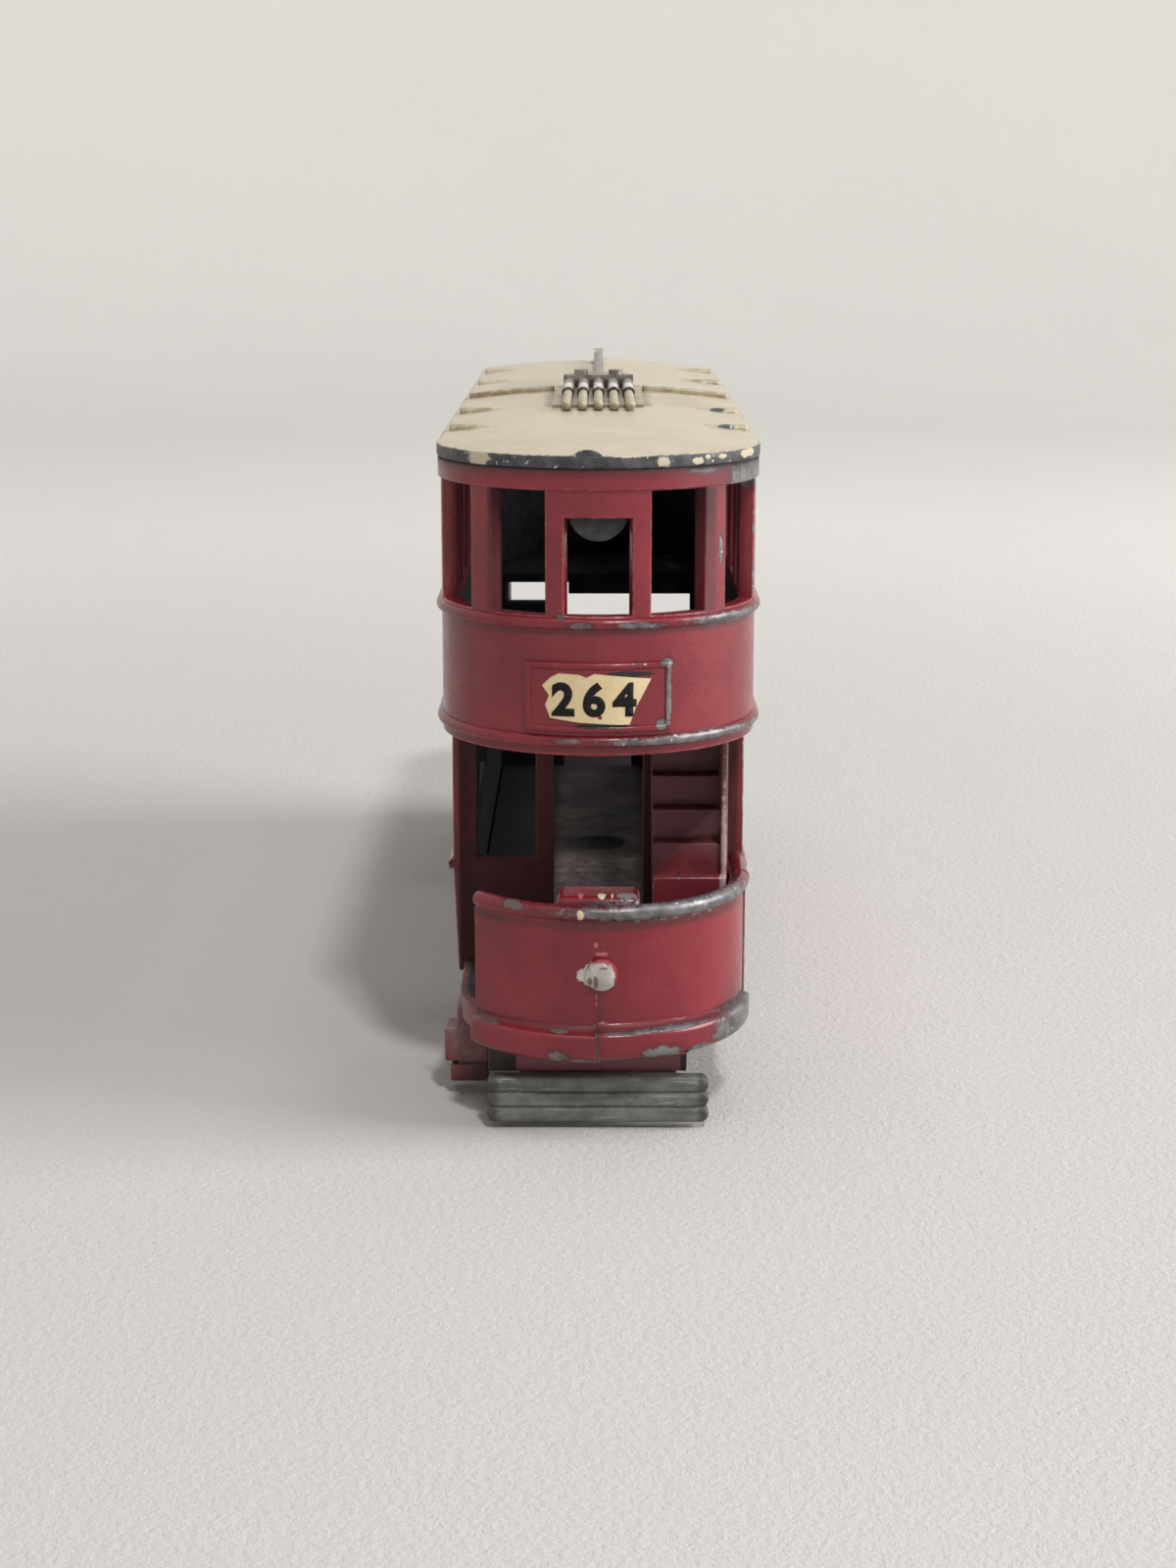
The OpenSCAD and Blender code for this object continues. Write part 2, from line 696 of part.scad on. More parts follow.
module roof_strip() {
    intersection() {
        camber(strip_h);
        for (side = [0, 1]) mirror([side, 0, 0])
            box(trolley_w / 2 + fit_gap, roof_r - roof_margin, -strip_w / 2, strip_w / 2,
                deck_top, crown_z + cut);
    }
}

module ventilators() {
    for (side = [0, 1], end = [0, 1], y = [vent_inner, vent_outer])
        mirror([side, 0, 0]) mirror([0, end, 0])
            rod_x(vent_r, roof_r - roof_margin - vent_l, roof_r - roof_margin, y, rim_z + 0.1);
}

module roof() color("ivory") {
    camber(0);
    both_ends() {
        domed_end();
        locating_lug();
        casting_nub();
    }
    roof_strip();
    ventilators();
    box(-trolley_w / 2, trolley_w / 2, trolley_front, pole_y, rim_z, pad_top);
    box(-pole_d, pole_d, pole_y + pole_l - 2.6, pole_y + pole_l - 1.4, rim_z, foot_top);
}

// Trolley gear: foot with spring rods and a yoke, and the pole that trails behind it

module spring_rod(x) {
    z = foot_top + spring_d / 3;
    tip = trolley_front - spring_tip;
    rod_y(spring_d / 2, tip, yoke_y + embed, x, z);
    translate([x, tip, z]) sphere(d = 1.08 * spring_d);
    rod_y(sleeve_d / 2, yoke_y - sleeve_l, yoke_y + embed, x, z + 0.1);
}

module yoke() {
    half = trolley_w / 2 - 0.5;
    translate([0, 0, pad_top]) linear_extrude(height = yoke_h) polygon([
        [-half, yoke_y - lap], [half, yoke_y - lap], [half, yoke_y + yoke_l / 4],
        [yoke_w / 2, pole_y], [-yoke_w / 2, pole_y], [-half, yoke_y + yoke_l / 4]
    ]);
    for (side = [-1, 1])
        translate([side * half / 2, yoke_y + yoke_l / 4, pad_top])
            cylinder(d = boss_d, h = yoke_h + boss_d / 3);
}

module trolley_base() color("silver") {
    box(-trolley_w / 2, trolley_w / 2, trolley_front, pole_y, pad_top, foot_top);
    for (i = [0 : springs - 1]) spring_rod((i - (springs - 1) / 2) * spring_pitch);
    yoke();
}

module trolley_pole() color("silver") {
    rod_y(pole_d / 2, pole_y, pole_y + pole_l, 0, pole_z);
    rod_x(pole_d * 0.7, -pole_d / 2, pole_d / 2, pole_y + pole_l, pole_z);
}

// Base plate with axle brackets, and a tongue under each platform

module axle_bracket() {
    for (side = [0, 1]) mirror([side, 0, 0]) {
        box(bracket_x, bracket_x + bracket_t, -bracket_l / 2, bracket_l / 2, axle_z, base_z + embed);
        rod_x(axle_d / 2 + axle_gap + bracket_foot, bracket_x, bracket_x + bracket_t, 0, axle_z);
    }
}

module base_plate() color("dimgray") difference() {
    half_x = inner_x - fit_gap;
    half_y = inner_y - fit_gap;
    union() {
        box(-half_x, half_x, -half_y, half_y, base_z, floor_z);
        both_ends() {
            box(-tongue_w / 2, tongue_w / 2, -half_y, web_t - half_y, tongue_z, floor_z);
            box(-tongue_w / 2, tongue_w / 2, -tongue_end, web_t - half_y, tongue_z, tongue_top);
            translate([0, -wheel_base / 2, 0]) axle_bracket();
        }
    }
    translate([0, 0, base_z - cut]) cylinder(d = base_hole_d, h = base_t + 2 * cut);
    both_ends() {
        translate([0, -rivet_y, tongue_z - cut]) cylinder(d = rivet_d + 2 * axle_gap, h = tongue_t + 2 * cut);
        rod_x(axle_d / 2 + axle_gap, -bracket_x - bracket_t - cut, bracket_x + bracket_t + cut,
            -wheel_base / 2, axle_z);
    }
}

module front_base_rivet() color("gray") translate([0, -rivet_y, tongue_z]) {
    head_r = (rivet_head_d * rivet_head_d / 4 + rivet_head_h * rivet_head_h) / (2 * rivet_head_h);
    translate([0, 0, -embed]) cylinder(d = rivet_d, h = tongue_t + pad_t + embed);
    intersection() {
        translate([0, 0, -rivet_head_h]) cylinder(d = rivet_head_d, h = rivet_head_h);
        translate([0, 0, head_r - rivet_head_h]) sphere(r = head_r);
    }
}

module rear_base_rivet() half_turn() front_base_rivet();

// Lifeguard: bars with rounded edges on a plate, hung from the tongue by two lugs
module guard_bar(y, z) {
    flat = guard_bar_d / 2 - guard_bar_edge;
    translate([-guard_w / 2, y, z]) rotate([90, 0, 90]) linear_extrude(height = guard_w) polygon(concat(
        arc(flat, flat, guard_bar_edge, 0, 90), arc(-flat, flat, guard_bar_edge, 90, 180),
        arc(-flat, -flat, guard_bar_edge, 180, 270), arc(flat, -flat, guard_bar_edge, 270, 360)
    ));
}

module front_lifeguard() color("dimgray") {
    half = guard_w / 2 - embed;
    bar_y = guard_bar_d / 2 - guard_front;
    top_bar = tongue_top - guard_bar_d / 2;
    for (i = [0 : guard_bars - 1]) guard_bar(bar_y, top_bar - i * guard_pitch);
    box(-half, half, bar_y, bar_y + guard_plate_t, top_bar - (guard_bars - 1) * guard_pitch, top_bar);
    for (side = [-1, 1])
        translate([side * tongue_w / 4, 0, 0])
            box(-0.6, 0.6, bar_y, bar_y + guard_plate_t + guard_lug_l, tongue_z - 0.6, tongue_z);
}

module rear_lifeguard() half_turn() front_lifeguard();

// Axle with formed ends, and the wheels that turn on it

module front_axle() color("silver") translate([0, -wheel_base / 2, axle_z]) {
    half = wheel_out + side_gap;
    rod_x(axle_d / 2, -half - axle_end_l, half + axle_end_l, 0, 0);
    for (side = [0, 1]) mirror([side, 0, 0]) rod_x(axle_end_d / 2, half, half + axle_end_l, 0, 0);
}

module rear_axle() half_turn() front_axle();

module wheel() color("darkgray") {
    tread_r = wheel_d / 2;
    bore_r = axle_d / 2 + axle_gap;
    rotate([90, 0, 90]) rotate_extrude() polygon([
        [bore_r, 0], [tread_r - 0.15, 0], [tread_r, 0.15], [tread_r, wheel_w - 0.15],
        [tread_r - 0.15, wheel_w], [tread_r - rim_w, wheel_w], [tread_r - rim_w, wheel_w - wheel_dish],
        [hub_d / 2, wheel_w - wheel_dish], [hub_d / 2, wheel_w], [bore_r, wheel_w]
    ]);
    for (i = [0 : spokes - 1]) rotate([i * 360 / spokes, 0, 0])
        box(wheel_w - wheel_dish - 0.2, wheel_w - wheel_dish / 2, -spoke_w / 2, spoke_w / 2,
            hub_d / 2 - 0.1, tread_r - rim_w + 0.1);
}

module wheel_at(end, side) {
    translate([side * wheel_inside / 2, end * wheel_base / 2, axle_z])
        rotate([0, 0, side > 0 ? 0 : 180]) wheel();
}

module front_left_wheel() wheel_at(-1, -1);
module front_right_wheel() wheel_at(-1, 1);
module rear_left_wheel() wheel_at(1, -1);
module rear_right_wheel() wheel_at(1, 1);

lower_body();
upper_deck();
roof();
trolley_base();
trolley_pole();
base_plate();
front_lifeguard();
rear_lifeguard();
front_staircase();
rear_staircase();
front_headlamp();
rear_headlamp();
front_destination_label();
rear_destination_label();
front_base_rivet();
rear_base_rivet();
front_axle();
rear_axle();
front_left_wheel();
front_right_wheel();
rear_left_wheel();
rear_right_wheel();
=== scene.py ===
# %% [markdown]
# # A worn die-cast toy tram
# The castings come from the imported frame, in metres, with the front end towards -Y. This lesson rounds
# their edges as thick enamel does, gives every casting its paint, wear and dirt, prints a number on the
# torn labels, and sets the tram on a pale cloth under soft light.

# %% Load the frame
import math

import bmesh
import bpy
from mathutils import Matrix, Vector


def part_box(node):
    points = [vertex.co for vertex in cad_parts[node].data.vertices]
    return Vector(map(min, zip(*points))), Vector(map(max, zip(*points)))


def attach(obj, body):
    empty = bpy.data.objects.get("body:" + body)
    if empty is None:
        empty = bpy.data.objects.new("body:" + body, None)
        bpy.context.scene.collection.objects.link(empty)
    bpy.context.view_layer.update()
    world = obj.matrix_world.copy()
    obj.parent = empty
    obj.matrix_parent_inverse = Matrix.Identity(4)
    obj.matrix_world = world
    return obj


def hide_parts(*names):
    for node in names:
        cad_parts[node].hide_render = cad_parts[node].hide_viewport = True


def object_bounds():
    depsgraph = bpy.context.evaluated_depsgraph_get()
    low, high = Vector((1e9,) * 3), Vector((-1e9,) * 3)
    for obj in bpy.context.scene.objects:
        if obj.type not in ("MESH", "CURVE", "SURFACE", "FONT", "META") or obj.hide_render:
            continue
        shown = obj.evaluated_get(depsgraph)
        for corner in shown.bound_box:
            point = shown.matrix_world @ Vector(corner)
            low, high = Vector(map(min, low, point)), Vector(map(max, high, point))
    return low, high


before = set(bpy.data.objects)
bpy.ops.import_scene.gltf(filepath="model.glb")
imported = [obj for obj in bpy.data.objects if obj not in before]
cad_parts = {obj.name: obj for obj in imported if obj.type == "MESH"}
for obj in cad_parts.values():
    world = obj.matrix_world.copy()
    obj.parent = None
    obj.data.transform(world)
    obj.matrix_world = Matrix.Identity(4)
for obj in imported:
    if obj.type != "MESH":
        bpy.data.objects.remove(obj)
cad_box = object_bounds()
MM = 0.001
ENDS = ("front", "rear")
print("CAD box in mm:", [[round(v / MM, 2) for v in corner] for corner in cad_box])

# %% [markdown]
# The photograph looks at the front end from just above, with a short telephoto view. The camera goes in
# first, because each later piece is judged through it. The view is given as a focal length in pixels of
# the 1200 x 1600 picture, and the sensor's long side stands for its height.

# %% Camera
PICTURE_H = 1600
FOCAL_PX = 2756
CAMERA_AT = (0.0, -0.1737, 0.04865)
LOOK_DOWN = 12.28
LOOK_LEFT = 0.218
NEAREST = 0.005

eye = bpy.data.cameras.new("eye")
eye.sensor_width = 36
eye.lens = FOCAL_PX / PICTURE_H * eye.sensor_width
eye.clip_start = NEAREST
camera = bpy.data.objects.new("camera", eye)
camera.location = CAMERA_AT
camera.rotation_euler = (math.radians(90 - LOOK_DOWN), 0, math.radians(LOOK_LEFT))
bpy.context.scene.collection.objects.link(camera)
bpy.context.scene.camera = camera
bpy.context.scene.view_settings.view_transform = "Standard"
print("camera lens in mm:", round(eye.lens, 2))

# %% [markdown]
# A material is a small net of nodes. These helpers place a node or one of our own node groups, fill its
# inputs with numbers or with the outputs of other nodes, and hand the output back, so that a finish can
# be read from top to bottom.

# %% Helpers for nodes
def feed(tree, socket, value):
    """Links a node's output to a socket, or sets a plain value on it."""
    if isinstance(value, bpy.types.Node):
        value = value.outputs[0]
    if isinstance(value, bpy.types.NodeSocket):
        tree.links.new(value, socket)
    else:
        socket.default_value = value


def put(tree, kind, inputs=None, **settings):
    """Places a shader node, or one of our groups, and fills its inputs by name or number."""
    if isinstance(kind, str):
        node = tree.nodes.new("ShaderNode" + kind)
    else:
        node = tree.nodes.new("ShaderNodeGroup")
        node.node_tree = kind
    for name, value in settings.items():
        setattr(node, name, value)
    for name, value in (inputs or {}).items():
        feed(tree, node.inputs[name], value)
    return node


def new_group(name, inputs, outputs):
    """A node group with named sockets; gives its tree, its input node and its output node."""
    tree = bpy.data.node_groups.new(name, "ShaderNodeTree")
    for label, kind, default in inputs:
        socket = tree.interface.new_socket(label, in_out="INPUT", socket_type="NodeSocket" + kind)
        socket.default_value = default
    for label, kind in outputs:
        tree.interface.new_socket(label, in_out="OUTPUT", socket_type="NodeSocket" + kind)
    return tree, tree.nodes.new("NodeGroupInput"), tree.nodes.new("NodeGroupOutput")


def new_finish(name):
    """An empty material with its Principled shader; gives the material, its tree and the shader."""
    material = bpy.data.materials.new(name)
    material.use_nodes = True
    return material, material.node_tree, material.node_tree.nodes["Principled BSDF"]


def own_point(tree):
    """The piece's own coordinates in mm."""
    place = put(tree, "TexCoord").outputs["Object"]
    return put(tree, "VectorMath", {0: place, "Scale": 1 / MM}, operation="SCALE")


def length(tree, vector):
    """The length of a vector."""
    return put(tree, "VectorMath", {0: vector}, operation="LENGTH").outputs["Value"]


def rough_up(tree, shader, height, depth_mm):
    """Feeds a height of about 0..1 to the shader's normal through a Bump node."""
    feed(tree, shader.inputs["Normal"], put(tree, "Bump", {"Height": height, "Distance": depth_mm * MM}))


print("node helpers ready")

# %% [markdown]
# Wear and dirt are masks: numbers from 0 to 1 that say how much of something is at a point. Painters mix
# them by hand; here small functions on Math nodes limit, join, weaken and roughen them.

# %% Helpers for masks
def sums(tree, operation, *values):
    """A Math node on numbers or sockets."""
    return put(tree, "Math", dict(enumerate(values)), operation=operation).outputs[0]


def aside(tree, value):
    """The distance from zero to either side."""
    return sums(tree, "ABSOLUTE", value)


def rise(tree, value, low, high):
    """0 below low, 1 above high, smooth between them; with low above high it falls."""
    limits = {"Value": value, "From Min": low, "From Max": high}
    return put(tree, "MapRange", limits, interpolation_type="SMOOTHSTEP").outputs["Result"]


def between(tree, value, low, high, soft):
    """1 from low to high, with soft edges."""
    up = rise(tree, value, low - soft, low + soft)
    return sums(tree, "MULTIPLY", up, rise(tree, value, high + soft, high - soft))


def both(tree, *masks):
    """Where all the masks are, as their product; a plain number weakens them."""
    shared = masks[0]
    for mask in masks[1:]:
        shared = sums(tree, "MULTIPLY", shared, mask)
    return shared


def either(tree, *masks):
    """Where any of the masks is, as the strongest of them."""
    strongest = masks[0]
    for mask in masks[1:]:
        strongest = sums(tree, "MAXIMUM", strongest, mask)
    return strongest


def outside_of(tree, mask):
    """Where a mask is not."""
    return sums(tree, "SUBTRACT", 1.0, mask)


def grade(tree, mask, low, high):
    """A number that goes from low to high as a mask goes from 0 to 1."""
    return sums(tree, "ADD", low, both(tree, mask, high - low))


def uneven(tree, value, wobble, amount):
    """A value made uneven by some of another one."""
    return sums(tree, "ADD", value, both(tree, wobble, amount))


def mixed(tree, share, first, second):
    """Two colours mixed by a mask."""
    colours = {0: share, 6: first, 7: second}
    return put(tree, "Mix", colours, data_type="RGBA").outputs[2]


def noise(tree, point, scale, detail=3.0, roughness=0.55):
    """A noise value over the surface; scale counts its waves in a millimetre."""
    settings = {"Vector": point, "Scale": scale, "Detail": detail, "Roughness": roughness}
    return put(tree, "TexNoise", settings).outputs["Fac"]


print("mask helpers ready")

# %% [markdown]
# Effects that several finishes share are node groups. The first tells where on the tram a point is, in
# millimetres. Both ends are alike after half a turn, so it also gives the point folded to the front end.
# Its stand-off is the distance from the plan outline of the upper deck: beads and frames stand proud,
# inner walls lie behind.

# %% Node group: where on the tram
BEAD_R = 0.3
deck_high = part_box("upper_deck")[1] / MM
DECK_R = deck_high.x - BEAD_R
END_Y = deck_high.y - DECK_R - BEAD_R

where_on_tram, _, out = new_group("where_on_tram", [], [
    ("Point", "Vector"), ("End Point", "Vector"), ("Across", "Float"), ("Along", "Float"),
    ("Up", "Float"), ("Standoff", "Float")])
tree = where_on_tram
point = own_point(tree)
x, y, z = put(tree, "SeparateXYZ", {"Vector": point}).outputs
past_end = sums(tree, "MAXIMUM", sums(tree, "SUBTRACT", aside(tree, y), END_Y), 0.0)
squares = [sums(tree, "MULTIPLY", value, value) for value in (x, past_end)]
from_axis = sums(tree, "SQRT", sums(tree, "ADD", *squares))
half_turn = sums(tree, "MULTIPLY", sums(tree, "SIGN", y), -1.0)
across = sums(tree, "MULTIPLY", x, half_turn)
along = sums(tree, "MULTIPLY", y, half_turn)
folded = put(tree, "CombineXYZ", {"X": across, "Y": along, "Z": z})
standoff = sums(tree, "SUBTRACT", from_axis, DECK_R)
for label, value in (("Point", point), ("End Point", folded), ("Across", across), ("Along", along),
                     ("Up", z), ("Standoff", standoff)):
    feed(tree, out.inputs[label], value)
print("deck radius and end centre in mm:", round(DECK_R, 2), round(END_Y, 2))

# %% [markdown]
# The second group is the skin of a small casting: soft blotches in the paint, fine specks of dirt, a
# slightly uneven surface, a haze, and a ragged value that breaks up the edges of chips.

# %% Node group: casting skin
casting_skin, _, out = new_group("casting_skin", [], [
    ("Tone", "Float"), ("Specks", "Float"), ("Height", "Float"), ("Ragged", "Float"), ("Haze", "Float")])
tree = casting_skin
point = put(tree, where_on_tram).outputs["Point"]
fine = noise(tree, point, 7.0, 2.0)
waves = noise(tree, point, 0.9, 3.0)
feed(tree, out.inputs["Tone"], rise(tree, noise(tree, point, 0.22, 4.0), 0.3, 0.7))
feed(tree, out.inputs["Specks"], rise(tree, noise(tree, point, 4.3, 1.0), 0.74, 0.79))
feed(tree, out.inputs["Height"], uneven(tree, waves, fine, 0.25))
feed(tree, out.inputs["Ragged"], sums(tree, "SUBTRACT", noise(tree, point, 2.4, 6.0, 0.75), 0.5))
feed(tree, out.inputs["Haze"], rise(tree, noise(tree, point, 1.1, 5.0, 0.7), 0.35, 0.75))


def surroundings(tree):
    """Where on the tram a point is and how its skin is, as two sets of outputs."""
    return put(tree, where_on_tram).outputs, put(tree, casting_skin).outputs


print("outputs of the casting skin:", [socket.name for socket in out.inputs if socket.name])

# %% [markdown]
# The third group is the dull zinc that shows where the paint has gone, dark, with a few bright specks
# painted on as glints.

# %% Node group: bare zinc
ZINC_DARK = (0.04, 0.04, 0.043, 1)
ZINC_LIGHT = (0.105, 0.105, 0.11, 1)
ZINC_RUBBED = (0.27, 0.255, 0.255, 1)
ZINC_GLINT = (0.66, 0.65, 0.64, 1)

bare_zinc, given, out = new_group("bare_zinc", [("Polish", "Float", 0.0)], [("Color", "Color")])
tree = bare_zinc
point = put(tree, where_on_tram).outputs["Point"]
dull = mixed(tree, rise(tree, noise(tree, point, 1.3, 5.0, 0.65), 0.35, 0.7), ZINC_DARK, ZINC_LIGHT)
patches = rise(tree, noise(tree, point, 1.3, 4.0, 0.6), 0.34, 0.6)
shine = grade(tree, patches, 0.4, 1.0)
dull = mixed(tree, both(tree, given.outputs["Polish"], shine), dull, ZINC_RUBBED)
# A few bright specks are painted on as highlights, where the zinc would glint.
glint = rise(tree, noise(tree, point, 4.0, 2.0), 0.66, 0.74)
feed(tree, out.inputs["Color"], mixed(tree, glint, dull, ZINC_GLINT))
print("zinc group ready")

# %% [markdown]
# The fourth group is one chip in the paint: an ellipsoid of a given centre and half size, with an edge
# made ragged by the skin. A painted mask could do the same, but a list of chips is easy to read and to
# change, and it draws the wear of a whole casting.

# %% Node group: a paint chip
FAR_AWAY = 9.0

paint_chip, given, out = new_group("paint_chip", [
    ("Point", "Vector", (0, 0, 0)), ("Ragged", "Float", 0.0), ("Centre", "Vector", (0, 0, 0)),
    ("Half Size", "Vector", (1, 1, 1)), ("Tear", "Float", 1.3)], [("Reach", "Float")])
tree = paint_chip
ends = {0: given.outputs["Point"], 1: given.outputs["Centre"]}
offset = put(tree, "VectorMath", ends, operation="SUBTRACT")
reach = put(tree, "VectorMath", {0: offset, 1: given.outputs["Half Size"]}, operation="DIVIDE")
torn = sums(tree, "MULTIPLY", given.outputs["Ragged"], given.outputs["Tear"])
feed(tree, out.inputs["Reach"], sums(tree, "ADD", length(tree, reach), torn))


def nearest_chip(tree, at, skin, centres, tear):
    """The reach of the nearest of some chips (centre, half size) in mm: 0 in its middle, 1 at its edge."""
    nearest = FAR_AWAY
    for centre, half_size in centres:
        reach = put(tree, paint_chip, {
            "Point": at["End Point"], "Ragged": skin["Ragged"], "Tear": tear,
            "Centre": centre, "Half Size": half_size}).outputs["Reach"]
        nearest = sums(tree, "MINIMUM", reach, nearest)
    return nearest


def on_front(spots, middle=-35.0, depth=7.0):
    """Centres and half sizes of chips on the rounded front: (across, up, half width, half height)."""
    return [((across, middle, up), (half_w, depth, half_h)) for across, up, half_w, half_h in spots]


def chips(tree, at, skin, centres, tear=1.3, soft=0.08):
    """The mask of all the chips in a list."""
    return rise(tree, nearest_chip(tree, at, skin, centres, tear), 1 + soft, 1 - soft)


print("chip group ready")

# %% [markdown]
# Die castings come out of the mould with small radii, and thick enamel softens them further. The nodes
# of the frame have knife-sharp corners, so each large casting is a merged copy of its node with its
# outward edges bevelled. The bevel also marks its own faces in an attribute, which the paint later reads
# to rub the edges through. A live Bevel modifier would do the same, but not leave that mark.

# %% Tools that round a casting
MERGE = 0.0005 * MM
FLAT = math.radians(0.4)
SHARP = math.radians(30)
SMOOTH = math.radians(50)
PARTING = 0.02
BEVEL_STEPS = 2
SOFT_STEPS = 4


def bevel_edges(piece, chosen, radius_mm, steps):
    """Rounds the sharp outward edges for which chosen(edge) holds; leaves the new faces selected."""
    bpy.ops.mesh.select_all(action="DESELECT")
    shape = bmesh.from_edit_mesh(piece.data)
    for edge in shape.edges:
        sharp = edge.is_manifold and edge.calc_face_angle_signed() > SHARP
        at_parting = all(abs(corner.co.x) < PARTING * MM for corner in edge.verts)
        edge.select_set(sharp and not at_parting and chosen(edge))
    bmesh.update_edit_mesh(piece.data)
    bpy.ops.mesh.bevel(offset=radius_mm * MM, segments=steps, clamp_overlap=False)


def in_zone(edge, low, high):
    """Whether an edge lies in a box in mm, given for the front end and turned for the rear one."""
    for corner in edge.verts:
        x, y, z = corner.co / MM
        folded = (x if y < 0 else -x, -abs(y), z)
        if not all(a <= v <= b for a, v, b in zip(low, folded, high)):
            return False
    return True


def rounded_casting(node, name, radius_mm, soft_zones=(), reshape=None):
    """A merged copy of a node with rounded outward edges, which stands for that node.

    soft_zones lists boxes (low, high, radius) whose edges are rounder; reshape may move the copy's corners.
    """
    bpy.ops.object.select_all(action="DESELECT")
    piece = bpy.data.objects.new(name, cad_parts[node].data.copy())
    bpy.context.scene.collection.objects.link(piece)
    piece.select_set(True)
    bpy.context.view_layer.objects.active = piece
    if reshape:
        reshape(piece)
    bpy.ops.object.mode_set(mode="EDIT")
    bpy.ops.mesh.select_mode(type="EDGE")
    bpy.ops.mesh.select_all(action="SELECT")
    bpy.ops.mesh.remove_doubles(threshold=MERGE)
    bpy.ops.mesh.customdata_custom_splitnormals_clear()
    bpy.ops.mesh.dissolve_limited(angle_limit=FLAT)
    bpy.ops.mesh.vert_connect_concave()
    for low, high, zone_radius in soft_zones:
        bevel_edges(piece, lambda edge: in_zone(edge, low, high), zone_radius, SOFT_STEPS)
    bevel_edges(piece, lambda edge: not any(in_zone(edge, low, high) for low, high, _ in soft_zones),
                radius_mm, BEVEL_STEPS)
    bpy.ops.object.mode_set(mode="OBJECT")
    rubbed = piece.data.attributes.new("rubbed", "FLOAT", "FACE")
    rubbed.data.foreach_set("value", [float(face.select) for face in piece.data.polygons])
    bpy.ops.object.shade_smooth_by_angle(angle=SMOOTH)
    bpy.ops.object.modifier_add(type="WEIGHTED_NORMAL")
    piece.modifiers[-1].keep_sharp = True
    bpy.ops.object.modifier_apply(modifier=piece.modifiers[-1].name)
    piece.data.materials.clear()
    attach(piece, "tram_body")
    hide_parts(node)
    limits = [max(abs(low), abs(high)) for low, high in zip(*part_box(node))]
    grown = max(abs(v.co[i]) - limits[i] for v in piece.data.vertices for i in range(3)) / MM
    print(name, len(piece.data.polygons), "faces,", sum(face.select for face in piece.data.polygons),
          "on rounded edges, outside its node by", round(grown, 3), "mm")
    return piece


print("rounding tools ready")

# %% [markdown]
# Two of the real castings differ a little from their plain nodes. Under the lower body, the boarding step
# is a short, thick block on a web that slopes back to the platform, beside a pad that reaches further out.
# On the roof, the strip across it stands higher. Moving the few corners concerned is enough for both.

# %% Corners that move
NEAR = 0.1
SLAB_Z = 4.6
STEP_BACK, STEP_FRONT, STEP_INNER, STEP_RISER, STEP_BLOCK = 25.8, 31.2, 6.4, 7.2, 7.6
STEP_WEB_Z, STEP_SLOT_Z = 4.2, 2.2
STEP_THICK, STEP_CUT, STEP_SINK = 6.05, 3.4, 0.25
PAD_HALF, PAD_BY_STEP, PAD_FREE = 4.2, 5.85, 4.75
RIM_Z, CAMBER = 36.0, 0.6
CROWN_Z = RIM_Z + CAMBER
STRIP_HALF, STRIP_END, STRIP_LIFT, STRIP_PROUD = 0.5, 8.4, 0.17, 0.08
FOOT_HALF, FOOT_FRONT, FOOT_BACK = 2.7, -14.8, 2.2
roof_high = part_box("roof")[1] / MM


def shape_underside(piece):
    """Shortens and thickens the boarding steps, slopes their webs, and widens the pads under the fenders."""
    for corner in piece.data.vertices:
        x, y, z = corner.co / MM
        outwards = -x if y < 0 else x
        along_step = STEP_BACK - NEAR < abs(y) < STEP_FRONT + NEAR
        below_slab = z < SLAB_Z + NEAR / 2
        if STEP_INNER < outwards < STEP_RISER and along_step and below_slab:
            corner.co.x = math.copysign(STEP_THICK * MM, x)
        if abs(abs(x) - PAD_HALF) < NEAR / 2 and abs(y) > STEP_BACK and below_slab:
            corner.co.x = math.copysign((PAD_BY_STEP if outwards > 0 else PAD_FREE) * MM, x)
        if outwards > STEP_INNER and abs(abs(y) - STEP_BACK) < NEAR and z < STEP_WEB_Z:
            corner.co.y += math.copysign(STEP_CUT * MM, y)
        if outwards > STEP_BLOCK and abs(z - STEP_SLOT_Z) < NEAR:
            corner.co.z -= STEP_SINK * MM


def raise_strip(piece):
    """Lifts the strip across the roof, on both sides of the trolley's foot."""
    for corner in piece.data.vertices:
        x, y, z = corner.co / MM
        surface = CROWN_Z - CAMBER * (x / roof_high.x) ** 2
        if abs(y) < STRIP_HALF and FOOT_HALF < abs(x) < STRIP_END and z > surface + STRIP_PROUD:
            corner.co.z += STRIP_LIFT * MM


print("step cut by", STEP_CUT, "mm and strip lifted by", STRIP_LIFT, "mm")

# %% [markdown]
# Some edges are rounder than the rest: the frame of the destination box, the top of the controller, the
# boarding step, and the strip and ventilator bars on the roof. Their boxes are given in millimetres.

# %% Rounded castings
EDGE, THIN_EDGE = 0.1, 0.08
SIGN_ZONE = ((-4.2, -39.5, 21.7), (4.2, -37.4, 25.8), 0.16)
CONTROLLER_ZONE = ((-2.3, -37.7, 11.9), (2.3, -34.5, 13.1), 0.4)
STEP_ZONE = ((-8.6, -32.0, 0.7), (-6.7, -25.5, 4.5), 0.16)
ROOF_ZONES = [
    ((-8.3, -26.0, 35.9), (-FOOT_HALF, 0.0, 37.0), 0.15),
    ((FOOT_HALF, -26.0, 35.9), (8.3, 0.0, 37.0), 0.15)]

